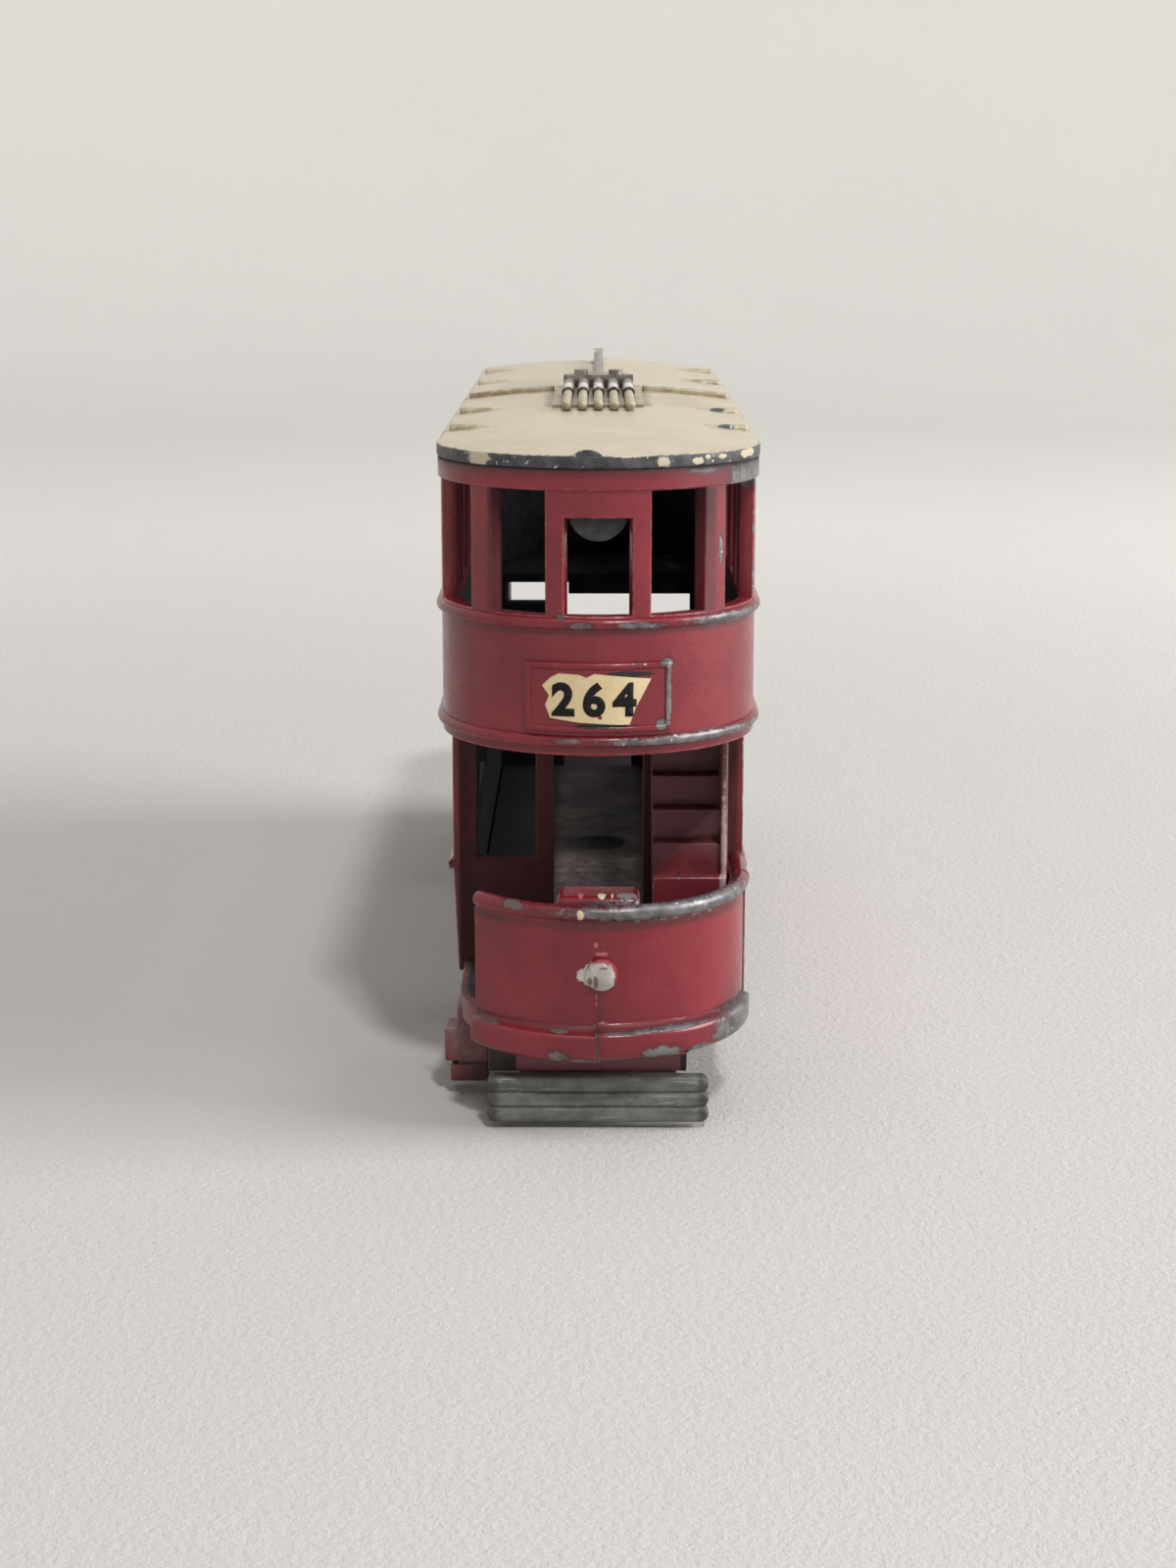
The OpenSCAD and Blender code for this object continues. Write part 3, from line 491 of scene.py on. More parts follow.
lower_body = rounded_casting("lower_body", "lower_body_casting", EDGE,
                             (CONTROLLER_ZONE, STEP_ZONE), shape_underside)
upper_deck = rounded_casting("upper_deck", "upper_deck_casting", EDGE, (SIGN_ZONE,))
roof = rounded_casting("roof", "roof_casting", THIN_EDGE, ROOF_ZONES, raise_strip)
base_plate = rounded_casting("base_plate", "base_plate_casting", THIN_EDGE)
staircases = []
for end in ENDS:
    stairs = end + "_staircase"
    staircases.append(rounded_casting(stairs, stairs + "_casting", EDGE))

# %% [markdown]
# The bars of the lifeguard are round at their ends too, which a bevel of its node cannot give, because
# the bars run into one another. It is modelled afresh from rounded blocks: three bars, the plate behind
# them and the two lugs that hold it. The rear one is a turned copy.

# %% Lifeguards
BARS = 3
BAR_H, BAR_PITCH, BAR_ROUND, BAR_END = 0.93, 0.82, 0.24, 0.42
PLATE_T, PLATE_SIDE, PLATE_EDGE, PLATE_ROUND = 0.5, 0.3, 0.4, 0.05
LUG_X, LUG_W, LUG_LOW, LUG_HIGH = 2.1, 1.2, 1.25, 1.85
guard_low, guard_high = (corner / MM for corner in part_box("front_lifeguard"))


def runs_along(edge):
    """Whether an edge of a block runs along the tram, so that rounding it rounds the block's front view."""
    return abs(edge.verts[0].co.y - edge.verts[1].co.y) > PARTING * MM


def soft_block(low, high, radius, end_radius=0.0):
    """A block between two corners in mm, with rounded edges, rounder ones in the front view if asked for."""
    bpy.ops.mesh.primitive_cube_add(size=1, location=[(a + b) / 2 * MM for a, b in zip(low, high)])
    block = bpy.context.object
    block.scale = [(b - a) * MM for a, b in zip(low, high)]
    bpy.ops.object.transform_apply(location=True, rotation=False, scale=True)
    bpy.ops.object.mode_set(mode="EDIT")
    bpy.ops.mesh.select_mode(type="EDGE")
    if end_radius:
        bevel_edges(block, runs_along, end_radius, SOFT_STEPS)
    bevel_edges(block, lambda edge: True, radius, SOFT_STEPS)
    bpy.ops.object.mode_set(mode="OBJECT")
    return block


bpy.ops.object.select_all(action="DESELECT")
bar_back = guard_low.y + BAR_H
plate_y = bar_back - BAR_H / 2
blocks = []
for bar in range(BARS):
    bar_low = guard_low.z + bar * BAR_PITCH
    bar_high = (guard_high.x, bar_back, bar_low + BAR_H)
    blocks.append(soft_block((guard_low.x, guard_low.y, bar_low), bar_high, BAR_ROUND, BAR_END))
plate_low = (guard_low.x + PLATE_SIDE, plate_y, guard_low.z + PLATE_EDGE)
plate_high = (guard_high.x - PLATE_SIDE, plate_y + PLATE_T, guard_high.z - PLATE_EDGE)
blocks.append(soft_block(plate_low, plate_high, PLATE_ROUND))
for side in (-LUG_X, LUG_X):
    lug_high = (side + LUG_W / 2, guard_high.y, LUG_HIGH)
    blocks.append(soft_block((side - LUG_W / 2, plate_y, LUG_LOW), lug_high, PLATE_ROUND))
for block in blocks:
    block.select_set(True)
bpy.context.view_layer.objects.active = blocks[0]
bpy.ops.object.join()
front_guard = bpy.context.object
front_guard.name = "front_lifeguard_bars"
bpy.ops.object.shade_smooth_by_angle(angle=SMOOTH)
bpy.ops.object.duplicate()
rear_guard = bpy.context.object
rear_guard.name = "rear_lifeguard_bars"
rear_guard.rotation_euler.z = math.radians(180)
bpy.ops.object.transform_apply(location=False, rotation=True, scale=False)
for piece, node in ((front_guard, "front_lifeguard"), (rear_guard, "rear_lifeguard")):
    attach(piece, "tram_body")
    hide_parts(node)
print("lifeguard:", len(front_guard.data.polygons), "faces")

# %% [markdown]
# The enamel is a deep crimson, a little uneven, with dirt and painted shade under the beads, and edges made
# paler by thin paint and a painted highlight. It was sprayed from outside, and its inner walls are painted
# nearly black, as unsprayed metal in shade. Where hands rub it, on beads, rims and edges, grey zinc shows,
# most of all on the right. One function paints all the red castings, and each gets its own list of chips.

# %% Crimson enamel
CRIMSON = (0.245, 0.0175, 0.029, 1)
CRIMSON_DEEP = (0.172, 0.0105, 0.0185, 1)
CRIMSON_THIN_AND_HIGHLIT = (0.38, 0.08, 0.09, 1)
# The first dark below paints unsprayed inner walls as if in shade; the next two serve real dirt and soot,
# and also painted shade and shadows.
INSIDE_SHADE = (0.007, 0.006, 0.0065, 1)
GRIME_AND_SHADE = (0.03, 0.011, 0.012, 1)
SOOT_AND_SHADE = (0.01, 0.009, 0.009, 1)
CHIP_TEAR = 2.0
CHIP_DEPTH = 0.6
SKIN_DEPTH = 0.03


def crimson_enamel(name, spots, dirt_and_shade_lines, inner_walls, edge_wear, polish):
    """Red enamel with chips, dirt and painted shade below each height in the lines given, paler edges
    of thin paint and painted highlight, inner walls painted dark as shade, and rubbed edges.

    inner_walls gives the mask of the walls that the spray did not reach, which are painted dark as shade.
    """
    material, tree, shader = new_finish(name)
    at, skin = surroundings(tree)
    zinc = put(tree, bare_zinc, {"Polish": polish})
    rubbed = put(tree, "Attribute", attribute_name="rubbed").outputs["Fac"]

    paint = mixed(tree, skin["Tone"], CRIMSON_DEEP, CRIMSON)
    # Rubbed edges are paler: the paint is thin there, and a highlight is painted along them.
    paint = mixed(tree, both(tree, rubbed, skin["Haze"]), paint, CRIMSON_THIN_AND_HIGHLIT)
    paint = mixed(tree, both(tree, skin["Specks"], 0.6), paint, GRIME_AND_SHADE)
    # A band of dirt and painted shade under each bead or rim.
    lines = either(tree, *[between(tree, at["Up"], line - 0.4, line - 0.05, 0.14) for line in dirt_and_shade_lines])
    outside = between(tree, at["Standoff"], -0.55, 0.02, 0.06)
    paint = mixed(tree, both(tree, lines, outside, 0.5), paint, GRIME_AND_SHADE)
    # Inner walls are painted near black: unsprayed metal, darkened as painted shade.
    unsprayed_and_shaded = inner_walls(tree, at)
    paint = mixed(tree, unsprayed_and_shaded, paint, INSIDE_SHADE)

    worn_side = rise(tree, at["Across"], -5.0, 3.0)
    scuffs = uneven(tree, skin["Ragged"], worn_side, 0.12)
    worn = rise(tree, scuffs, 1.0 - edge_wear, 1.08 - edge_wear)
    edges = both(tree, rubbed, worn, outside_of(tree, unsprayed_and_shaded))
    nearest = nearest_chip(tree, at, skin, on_front(spots), CHIP_TEAR)
    paint = mixed(tree, both(tree, rise(tree, nearest, 1.7, 1.0), 0.55), paint, GRIME_AND_SHADE)
    rubbed_through = grade(tree, worn_side, 0.5, 1.0)
    bare = both(tree, either(tree, rise(tree, nearest, 1.1, 0.9), edges), rubbed_through)
    feed(tree, shader.inputs["Base Color"], mixed(tree, bare, paint, zinc.outputs["Color"]))
    feed(tree, shader.inputs["Metallic"], both(tree, bare, 0.6))
    sheen = grade(tree, skin["Haze"], 0.19, 0.31)
    dulled = either(tree, both(tree, bare, 0.16), both(tree, unsprayed_and_shaded, 0.75))
    feed(tree, shader.inputs["Roughness"], sums(tree, "ADD", sheen, dulled))
    rough_up(tree, shader, uneven(tree, skin["Height"], bare, -CHIP_DEPTH), SKIN_DEPTH)
    return material, tree, shader, at, skin


def recolour(tree, shader, mask, colour, dull=0.0):
    """Lays one more colour where a mask is: a splash of paint, dull dirt, or painted light or shade."""
    names = ("Base Color", "Metallic", "Roughness")
    colour_before, metal_before, rough_before = (shader.inputs[name].links[0].from_socket for name in names)
    feed(tree, shader.inputs["Base Color"], mixed(tree, mask, colour_before, colour))
    feed(tree, shader.inputs["Metallic"], both(tree, metal_before, outside_of(tree, mask)))
    feed(tree, shader.inputs["Roughness"], uneven(tree, rough_before, mask, dull))


print("crimson in linear light:", CRIMSON[:3])

# %% [markdown]
# The upper deck is chipped along its beads and the frame of its destination box. Soot lies round the
# label. Under the roof's rim a painted shadow darkens the band, with a darker painted shadow line in the
# seam, and the jambs of the front windows are painted in shade, most towards their tops.

# %% Finish of the upper deck
CRIMSON_SHADE = (0.06, 0.005, 0.009, 1)
DECK_CHIPS = [
    (8.1, 34.7, 1.35, 0.9), (5.4, 35.15, 0.8, 0.16), (6.3, 31.0, 0.09, 0.7), (-1.95, 27.85, 0.2, 0.16),
    (-0.9, 27.42, 0.7, 0.2), (2.05, 27.42, 1.5, 0.2), (6.9, 27.42, 2.2, 0.27),
    (4.4, 21.45, 4.6, 0.24), (-1.6, 21.5, 1.0, 0.12),
    (3.6, 23.75, 0.13, 1.7), (3.5, 25.42, 0.34, 0.2), (3.25, 22.3, 0.3, 0.28), (1.83, 25.5, 0.12, 0.08),
    (2.4, 25.48, 0.1, 0.07)]
LABEL_SOOT = [(1.5, 24.95, 1.25, 0.17), (0.2, 22.3, 1.6, 0.14)]
BELOW_BEADS = (27.3, 21.25)
SILL_Z, LINTEL_Z, ROOF_SEAM_Z = 27.9, 34.2, 36.0


def deck_inside(tree, at):
    """Behind the outer skin of the upper deck."""
    return rise(tree, at["Standoff"], -0.6, -0.85)


deck_paint, tree, shader, at, skin = crimson_enamel(
    "crimson_enamel_deck", DECK_CHIPS, BELOW_BEADS, deck_inside, edge_wear=0.86, polish=0.7)
by_label = on_front(LABEL_SOOT, middle=-38.0, depth=3.0)
recolour(tree, shader, chips(tree, at, skin, by_label), SOOT_AND_SHADE)
# A painted shadow of the roof's rim on the band, and a darker painted shadow line in the seam below it.
rim_shadow = both(tree, between(tree, at["Up"], ROOF_SEAM_Z - 1.1, ROOF_SEAM_Z, 0.35), 0.55)
recolour(tree, shader, rim_shadow, GRIME_AND_SHADE, dull=0.3)
seam = both(tree, between(tree, at["Up"], ROOF_SEAM_Z - 0.8, ROOF_SEAM_Z, 0.08), 0.75)
recolour(tree, shader, seam, SOOT_AND_SHADE, dull=0.5)
# The jambs of the front windows are painted in shade, more so towards their tops.
window_height = between(tree, at["Up"], SILL_Z, LINTEL_Z, 0.1)
in_window = both(tree, window_height, rise(tree, at["Along"], -33.0, -34.0))
right_jamb = between(tree, at["Across"], 4.7, 6.05, 0.12)
left_jamb = between(tree, at["Across"], -5.65, -4.7, 0.12)
high_up = grade(tree, rise(tree, at["Up"], 30.0, 34.0), 0.65, 1.0)
shaded = both(tree, in_window, either(tree, right_jamb, left_jamb), high_up)
recolour(tree, shader, shaded, CRIMSON_SHADE, dull=0.4)
upper_deck.data.materials.append(deck_paint)
print("deck finish:", deck_paint.name)

# %% [markdown]
# The lower body takes the most knocks: its rim, fender and controller are rubbed, and drops of the roof's
# cream and of the lamp's silver have landed on it. A pink highlight is painted on the controller's top
# edge. Each kind is a short list of chips in its own colour.

# %% Chips and splashes on the lower body
CREAM_SPLASH = (0.72, 0.62, 0.42, 1)
SILVER_SMEAR = (0.52, 0.5, 0.45, 1)
GREY_RUB = (0.2, 0.19, 0.2, 1)
PINK_RUB_AND_HIGHLIGHT = (0.48, 0.15, 0.16, 1)
BODY_CHIPS = [
    (3.3, 12.3, 5.6, 0.5), (-4.4, 12.45, 0.55, 0.22), (7.8, 5.2, 1.6, 1.1), (-2.1, 4.72, 0.6, 0.36),
    (3.3, 4.8, 1.1, 0.42), (-0.8, 4.48, 0.9, 0.14), (0.6, 4.52, 0.7, 0.14), (5.4, 4.75, 0.6, 0.2),
    (3.2, 6.02, 2.9, 0.08), (-2.0, 5.98, 0.5, 0.06),
    (-6.0, 5.95, 0.7, 0.07), (-8.2, 3.95, 0.4, 0.07), (-7.9, 2.5, 0.3, 0.08)]
RIM_DROP = [(-0.92, 12.25, 0.2, 0.3)]
DASH_RUBS = [
    (-0.1, 10.6, 0.13, 0.17), (0.2, 10.1, 0.34, 0.13), (-0.05, 7.8, 0.07, 0.2), (-0.05, 7.4, 0.06, 0.14)]
CONTROLLER_TOP = {"middle": -37.2, "depth": 0.4}
CONTROLLER_DROPS = [(0.2, 12.92, 0.24, 0.18), (0.75, 12.9, 0.09, 0.12)]
CONTROLLER_GREY = [(1.5, 12.95, 0.55, 0.24)]
CONTROLLER_PINK = [(-0.9, 12.95, 0.16, 0.14)]
BELOW_RIMS = (11.75, 20.5)
lamp_low, lamp_high = (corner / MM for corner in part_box("front_headlamp"))
lamp_x, lamp_z = (lamp_low.x + lamp_high.x) / 2, (lamp_low.z + lamp_high.z) / 2


def saloon_inside(tree, at):
    """Between the bulkheads of the lower saloon, painted dark as shade; the bulkheads themselves only in
    part.
    """
    within_sides = rise(tree, aside(tree, at["Across"]), 8.0, 7.7)
    inner = both(tree, rise(tree, at["Along"], -25.7, -25.3), within_sides)
    end_face = rise(tree, at["Along"], -25.75, -25.9)
    # The bulkheads and the ends of the side walls are painted in shade, darker on the left.
    share = grade(tree, rise(tree, at["Across"], -6.5, -7.5), 0.7, 0.8)
    by_bulkhead = rise(tree, at["Along"], -27.5, -26.0)
    bulkhead = both(tree, by_bulkhead, either(tree, within_sides, end_face), share)
    return either(tree, inner, bulkhead)


body_paint, tree, shader, at, skin = crimson_enamel(
    "crimson_enamel_body", BODY_CHIPS, BELOW_RIMS, saloon_inside, edge_wear=0.95, polish=0.7)
up, across, along = at["Up"], at["Across"], at["Along"]
recolour(tree, shader, chips(tree, at, skin, on_front(RIM_DROP)), CREAM_SPLASH)
drops = on_front(CONTROLLER_DROPS, **CONTROLLER_TOP)
recolour(tree, shader, chips(tree, at, skin, drops), CREAM_SPLASH)
grey_rub = on_front(CONTROLLER_GREY, **CONTROLLER_TOP)
recolour(tree, shader, chips(tree, at, skin, grey_rub), GREY_RUB)
# Pale pink rubs on the dash; the pink patch on the controller's top edge is a painted highlight.
pink_rubs_and_highlight = on_front(DASH_RUBS) + on_front(CONTROLLER_PINK, **CONTROLLER_TOP)
recolour(tree, shader, both(tree, chips(tree, at, skin, pink_rubs_and_highlight), 0.8), PINK_RUB_AND_HIGHLIGHT)
below_lamp = both(tree, rise(tree, up, lamp_z, lamp_z - 1.0), rise(tree, along, -36.5, -37.5))
parting = both(tree, between(tree, across, -0.05, 0.05, 0.05), below_lamp, 0.7)
recolour(tree, shader, parting, GRIME_AND_SHADE)
smears = [(-0.32, lamp_z - 0.12, 0.85, 0.5), (-0.2, lamp_z + 0.25, 0.6, 0.4)]
smear = chips(tree, at, skin, on_front(smears, middle=-39.0, depth=2.5))
recolour(tree, shader, smear, SILVER_SMEAR)
lower_body.data.materials.append(body_paint)
print("body finish:", body_paint.name, "with", len(BODY_CHIPS), "chips")

# %% [markdown]
# Dirt gathers on the boarding step, which also holds fluff from the cloth, and a painted shade darkens
# the step further, under its block and on its inner tread. Painted shade also darkens the crease over the
# fender, the inside of the dash, the tongue under the fender and the ends of the pads beside it, and the
# platform floor is darkened by dirt and painted shade. Each is a mask of heights and distances, laid over
# the finish in turn.

# %% Dirt on the lower body
FLUFF = (0.36, 0.25, 0.25, 1)
TONGUE_SHADE = (0.13, 0.06, 0.072, 1)
FLOOR_Z = 6.4

low_down = rise(tree, up, 4.5, 4.3)
step_block = both(tree, rise(tree, across, -5.95, -6.05), low_down)
left_side = either(tree, rise(tree, across, -6.7, -7.0), step_block)
by_step = both(tree, left_side, between(tree, along, -32.8, -26.0, 0.3))
# The step is darkened by dirt and by a painted shade.
step_dirt_and_shade = both(tree, by_step, rise(tree, up, 9.0, 8.0), grade(tree, skin["Haze"], 0.25, 0.65))
recolour(tree, shader, step_dirt_and_shade, GRIME_AND_SHADE, dull=0.4)
fluff = both(tree, by_step, between(tree, up, 1.5, 7.0, 1.0), grade(tree, skin["Haze"], 0.1, 0.6))
recolour(tree, shader, fluff, FLUFF)
# Painted shade under the step block and on its inner tread.
below_block_shade = both(tree, by_step, between(tree, up, 1.74, 1.96, 0.06), 0.8)
inner_tread_shade = both(tree, step_block, rise(tree, up, 1.9, 1.7), rise(tree, across, -7.3, -6.7), 0.55)
recolour(tree, shader, either(tree, below_block_shade, inner_tread_shade), SOOT_AND_SHADE, dull=0.3)

at_end = rise(tree, along, -27.0, -28.5)
# Painted shade in the crease over the fender and inside the dash.
crease_shade = both(tree, between(tree, up, 6.0, 6.25, 0.15), at_end, 0.55)
within_dash = rise(tree, at["Standoff"], -1.05, -1.25)
dash_inside_shade = both(tree, within_dash, between(tree, up, 5.0, 12.2, 0.2), at_end)
beside_controller = rise(tree, aside(tree, across), 2.35, 2.55)
behind_controller = rise(tree, along, -34.8, -34.6)
dash_inside_shade = both(tree, dash_inside_shade, either(tree, beside_controller, behind_controller), 0.8)
recolour(tree, shader, either(tree, crease_shade, dash_inside_shade), GRIME_AND_SHADE, dull=0.6)

# The tongue under the fender is painted darker as shade, and the ends of the pads beside it nearly black as
# shade.
tongue_shade = both(tree, rise(tree, up, 4.0, 3.6), between(tree, across, -5.2, 5.2, 0.2), at_end, 0.6)
recolour(tree, shader, tongue_shade, TONGUE_SHADE, dull=0.3)
left_end = between(tree, across, -5.9, -4.35, 0.05)
right_end = between(tree, across, 4.4, 5.0, 0.05)
pad_end_shade = both(tree, either(tree, left_end, right_end), low_down, at_end, 0.92)
recolour(tree, shader, pad_end_shade, SOOT_AND_SHADE, dull=0.4)
# The platform floor is darkened near black by dirt and painted shade.
floor_dirt_and_shade = both(tree, rise(tree, up, FLOOR_Z + 0.1, FLOOR_Z - 0.1), within_dash, 0.85)
floor_dirt_and_shade = both(tree, floor_dirt_and_shade, rise(tree, along, -34.4, -34.0), outside_of(tree, step_block))
recolour(tree, shader, floor_dirt_and_shade, SOOT_AND_SHADE)
print("dirt laid over", body_paint.name)

# %% [markdown]
# No spray reached the inside of either storey, apart from a little overspray through the upper windows.
# A second, matt finish on the faces inside paints them near black, as unsprayed metal in painted shade,
# which is simpler and darker than any mask of the outer one.

# %% Unsprayed inside
UNLIT = (0.015, 0.013, 0.016, 1)
UNLIT_DUSTY = (0.032, 0.029, 0.034, 1)
OVERSPRAY = (0.12, 0.02, 0.03, 1)
DECK_WALL = 0.8
SALOON_X, SALOON_Y = 7.6, 25.3

unsprayed_and_shaded, tree, shader = new_finish("unsprayed_shaded_inside")
shader.inputs["Specular IOR Level"].default_value = 0.1
shader.inputs["Roughness"].default_value = 0.9
at, skin = surroundings(tree)
unlit = mixed(tree, skin["Haze"], UNLIT, UNLIT_DUSTY)
by_wall = rise(tree, aside(tree, at["Across"]), 7.2, 7.4)
by_end = rise(tree, at["Along"], -27.0, -31.0)
overspray = both(tree, either(tree, by_end, by_wall), rise(tree, at["Up"], 27.0, 28.0))
feed(tree, shader.inputs["Base Color"], mixed(tree, overspray, unlit, OVERSPRAY))


def behind_deck_wall(face):
    """Whether a point in mm lies behind the wall of the upper deck."""
    return math.hypot(face.x, max(abs(face.y) - END_Y, 0)) < DECK_R - DECK_WALL


def in_saloon(face):
    """Whether a point in mm lies in the lower saloon."""
    return abs(face.x) < SALOON_X and abs(face.y) < SALOON_Y


for piece, is_inside in ((upper_deck, behind_deck_wall), (lower_body, in_saloon)):
    piece.data.materials.append(unsprayed_and_shaded)
    for face in piece.data.polygons:
        face.material_index = int(is_inside(face.center / MM))
    print(piece.name, "faces inside:", sum(face.material_index for face in piece.data.polygons))

# %% [markdown]
# The stairs wear the same enamel under dust. Their inner and upper steps are darkened past a slanting
# line by a painted shadow, and the edge of their panel is rubbed pale.

# %% Finish of the stairs
CRIMSON_WORN = (0.5, 0.36, 0.37, 1)
STAIR_DUST_AND_SHADOW = (0.1, 0.045, 0.056, 1)
STAIR_CHIPS = [(4.4, 12.6, 0.1, 0.06), (5.6, 14.2, 0.1, 0.07)]
PANEL_EDGE = [(6.8, 13.5, 0.25, 7.8)]
SLANT = 0.91
NO_BEADS = (0.0,)


def stair_shadow_side(tree, at):
    """The inner and upper steps of the flight, past a slanting line, where a shadow is painted."""
    return rise(tree, uneven(tree, at["Up"], at["Across"], -SLANT), 9.65, 10.25)


def stair_shadow(tree, at):
    """The painted shadow on those steps."""
    return grade(tree, stair_shadow_side(tree, at), 0.02, 0.44)


stair_paint, tree, shader, at, skin = crimson_enamel(
    "crimson_enamel_stairs", STAIR_CHIPS, NO_BEADS, stair_shadow, edge_wear=0.85, polish=0.8)
# Dust over the whole flight, deepened past the slanting line as a painted shadow.
recolour(tree, shader, grade(tree, stair_shadow_side(tree, at), 0.34, 0.46), STAIR_DUST_AND_SHADOW)
panel_edge = on_front(PANEL_EDGE, middle=-32.7, depth=1.6)
recolour(tree, shader, both(tree, chips(tree, at, skin, panel_edge, tear=1.0), 0.8), CRIMSON_WORN)
for flight in staircases:
    flight.data.materials.append(stair_paint)
print("red finishes:", deck_paint.name, body_paint.name, stair_paint.name)

# %% [markdown]
# The roof is cream enamel with brown stains where dirt has settled along the strip, the ventilator bars
# and the trolley foot. The stains are patchy, so a noise weakens all of them but the foot's.

# %% Cream and stains of the roof
CREAM = (0.55, 0.485, 0.36, 1)
CREAM_WARM = (0.505, 0.435, 0.3, 1)
STAIN = (0.17, 0.112, 0.04, 1)
VENT_X, VENT_Z, VENT_YS = 6.6, 36.3, (-12.6, -24.4)
LEFT_STAIN, RIGHT_STAIN = (-1, 1.0), (1, 0.5)
SMUDGE = [((4.6, -7.5, 36.4), (2.2, 4.5, 1.0))]

roof_paint, tree, shader = new_finish("cream_enamel_roof")
at, skin = surroundings(tree)
x, y, _ = put(tree, "SeparateXYZ", {"Vector": at["Point"]}).outputs
blotches = rise(tree, noise(tree, at["Point"], 1.5, 5.0, 0.7), 0.4, 0.6)
patchy = grade(tree, blotches, 0.35, 1.0)
stains = []
for side, strength in (LEFT_STAIN, RIGHT_STAIN):
    by_vents = [((side * (VENT_X + 0.75), vent - 0.2, VENT_Z), (1.3, 1.15, 1.0)) for vent in VENT_YS]
    stains.append(both(tree, chips(tree, at, skin, by_vents, tear=2.4, soft=0.45), patchy, strength))
wander = sums(tree, "MULTIPLY", skin["Ragged"], 0.9)
off_strip = sums(tree, "ADD", aside(tree, sums(tree, "ADD", y, 0.3)), wander)
stains.append(both(tree, rise(tree, off_strip, 1.9, 0.5), patchy, 0.9))
stains.append(both(tree, chips(tree, at, skin, SMUDGE, tear=2.0, soft=0.5), patchy, 0.4))
from_middle = sums(tree, "ADD", aside(tree, x), wander)
beside_foot = rise(tree, from_middle, FOOT_HALF + 0.75, FOOT_HALF + 0.1)
from_foot = between(tree, sums(tree, "ADD", y, wander), FOOT_FRONT + 1.0, FOOT_BACK + 0.4, 0.4)
stains.append(both(tree, beside_foot, from_foot))
paint = mixed(tree, skin["Tone"], CREAM_WARM, CREAM)
stained = both(tree, either(tree, *stains), grade(tree, skin["Haze"], 0.65, 1.0))
paint = mixed(tree, stained, paint, STAIN)
paint = mixed(tree, both(tree, skin["Specks"], 0.7), paint, STAIN)
print("roof stains:", len(stains))

# %% [markdown]
# The upright edge of the roof is rubbed bare all round but for a few chips of cream. The right ventilator
# bars are chipped, the nub at the front is bare, and the lug that hangs inside is bare metal, darkened
# towards its top by a painted shade.

# %% Bare edge of the roof
RIM_CHIPS = [
    (-6.1, 35.7, 0.62, 0.5), (3.3, 35.65, 0.38, 0.28), (5.05, 35.62, 0.28, 0.2), (5.55, 35.78, 0.13, 0.12),
    (6.3, 35.74, 0.28, 0.11), (7.7, 35.75, 0.42, 0.22), (1.6, 36.0, 1.1, 0.1)]
NUB = [(-0.5, 36.1, 0.75, 0.35)]
ROOF_LUG_Z = (32.3, 34.8)

on_vents = [((VENT_X + 0.4, vent - 0.3, VENT_Z), (0.45, 0.25, 0.2)) for vent in VENT_YS]
chipped = chips(tree, at, skin, on_vents)
nub = chips(tree, at, skin, on_front(NUB, middle=-39.0, depth=0.5), tear=0.4)
edge_line = uneven(tree, at["Up"], skin["Ragged"], 0.25)
worn_rim = rise(tree, edge_line, RIM_Z + 0.02, RIM_Z - 0.06)
cream_left = chips(tree, at, skin, on_front(RIM_CHIPS), tear=CHIP_TEAR)
bare = either(tree, both(tree, worn_rim, outside_of(tree, cream_left)), nub, chipped)
# The lug is painted darker towards its top as shade.
lug_top_shade = both(tree, between(tree, at["Up"], *ROOF_LUG_Z, 0.4), 0.7)
edge_metal = mixed(tree, lug_top_shade, put(tree, bare_zinc).outputs["Color"], SOOT_AND_SHADE)
feed(tree, shader.inputs["Base Color"], mixed(tree, bare, paint, edge_metal))
feed(tree, shader.inputs["Metallic"], both(tree, bare, 0.35))
feed(tree, shader.inputs["Roughness"], uneven(tree, grade(tree, skin["Haze"], 0.3, 0.45), bare, 0.15))
rough_up(tree, shader, uneven(tree, skin["Height"], bare, -CHIP_DEPTH), SKIN_DEPTH)
roof.data.materials.append(roof_paint)
print("roof finish:", roof_paint.name)

# %% [markdown]
# The trolley gear was splashed with the roof's cream, which still covers the foot and the front of the
# spring rods. The tops of the sleeves are rubbed to bright metal and lit further by a painted highlight,
# while their sides are painted darker as shade, and a painted shadow lies at the sleeves' front ends. The
# yoke and the pole are a dirty grey, and dirt and painted shade fill the gaps. The gear keeps its node, so
# only its material changes.

# %% Trolley gear
SLEEVE_FRONT, SLEEVE_BACK = -8.8, -4.5
GEAR_DIRT_AND_SHADE = (0.14, 0.11, 0.07, 1)
GEAR_GREY = (0.34, 0.32, 0.28, 1)
GEAR_GREY_DIRTY = (0.1, 0.085, 0.065, 1)
GEAR_BRIGHT_RUB_AND_HIGHLIGHT = (0.76, 0.74, 0.71, 1)


def refinish(node, material):
    """Gives its finish to a casting that keeps the shape of its node."""
    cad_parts[node].data.materials.clear()
    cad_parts[node].data.materials.append(material)


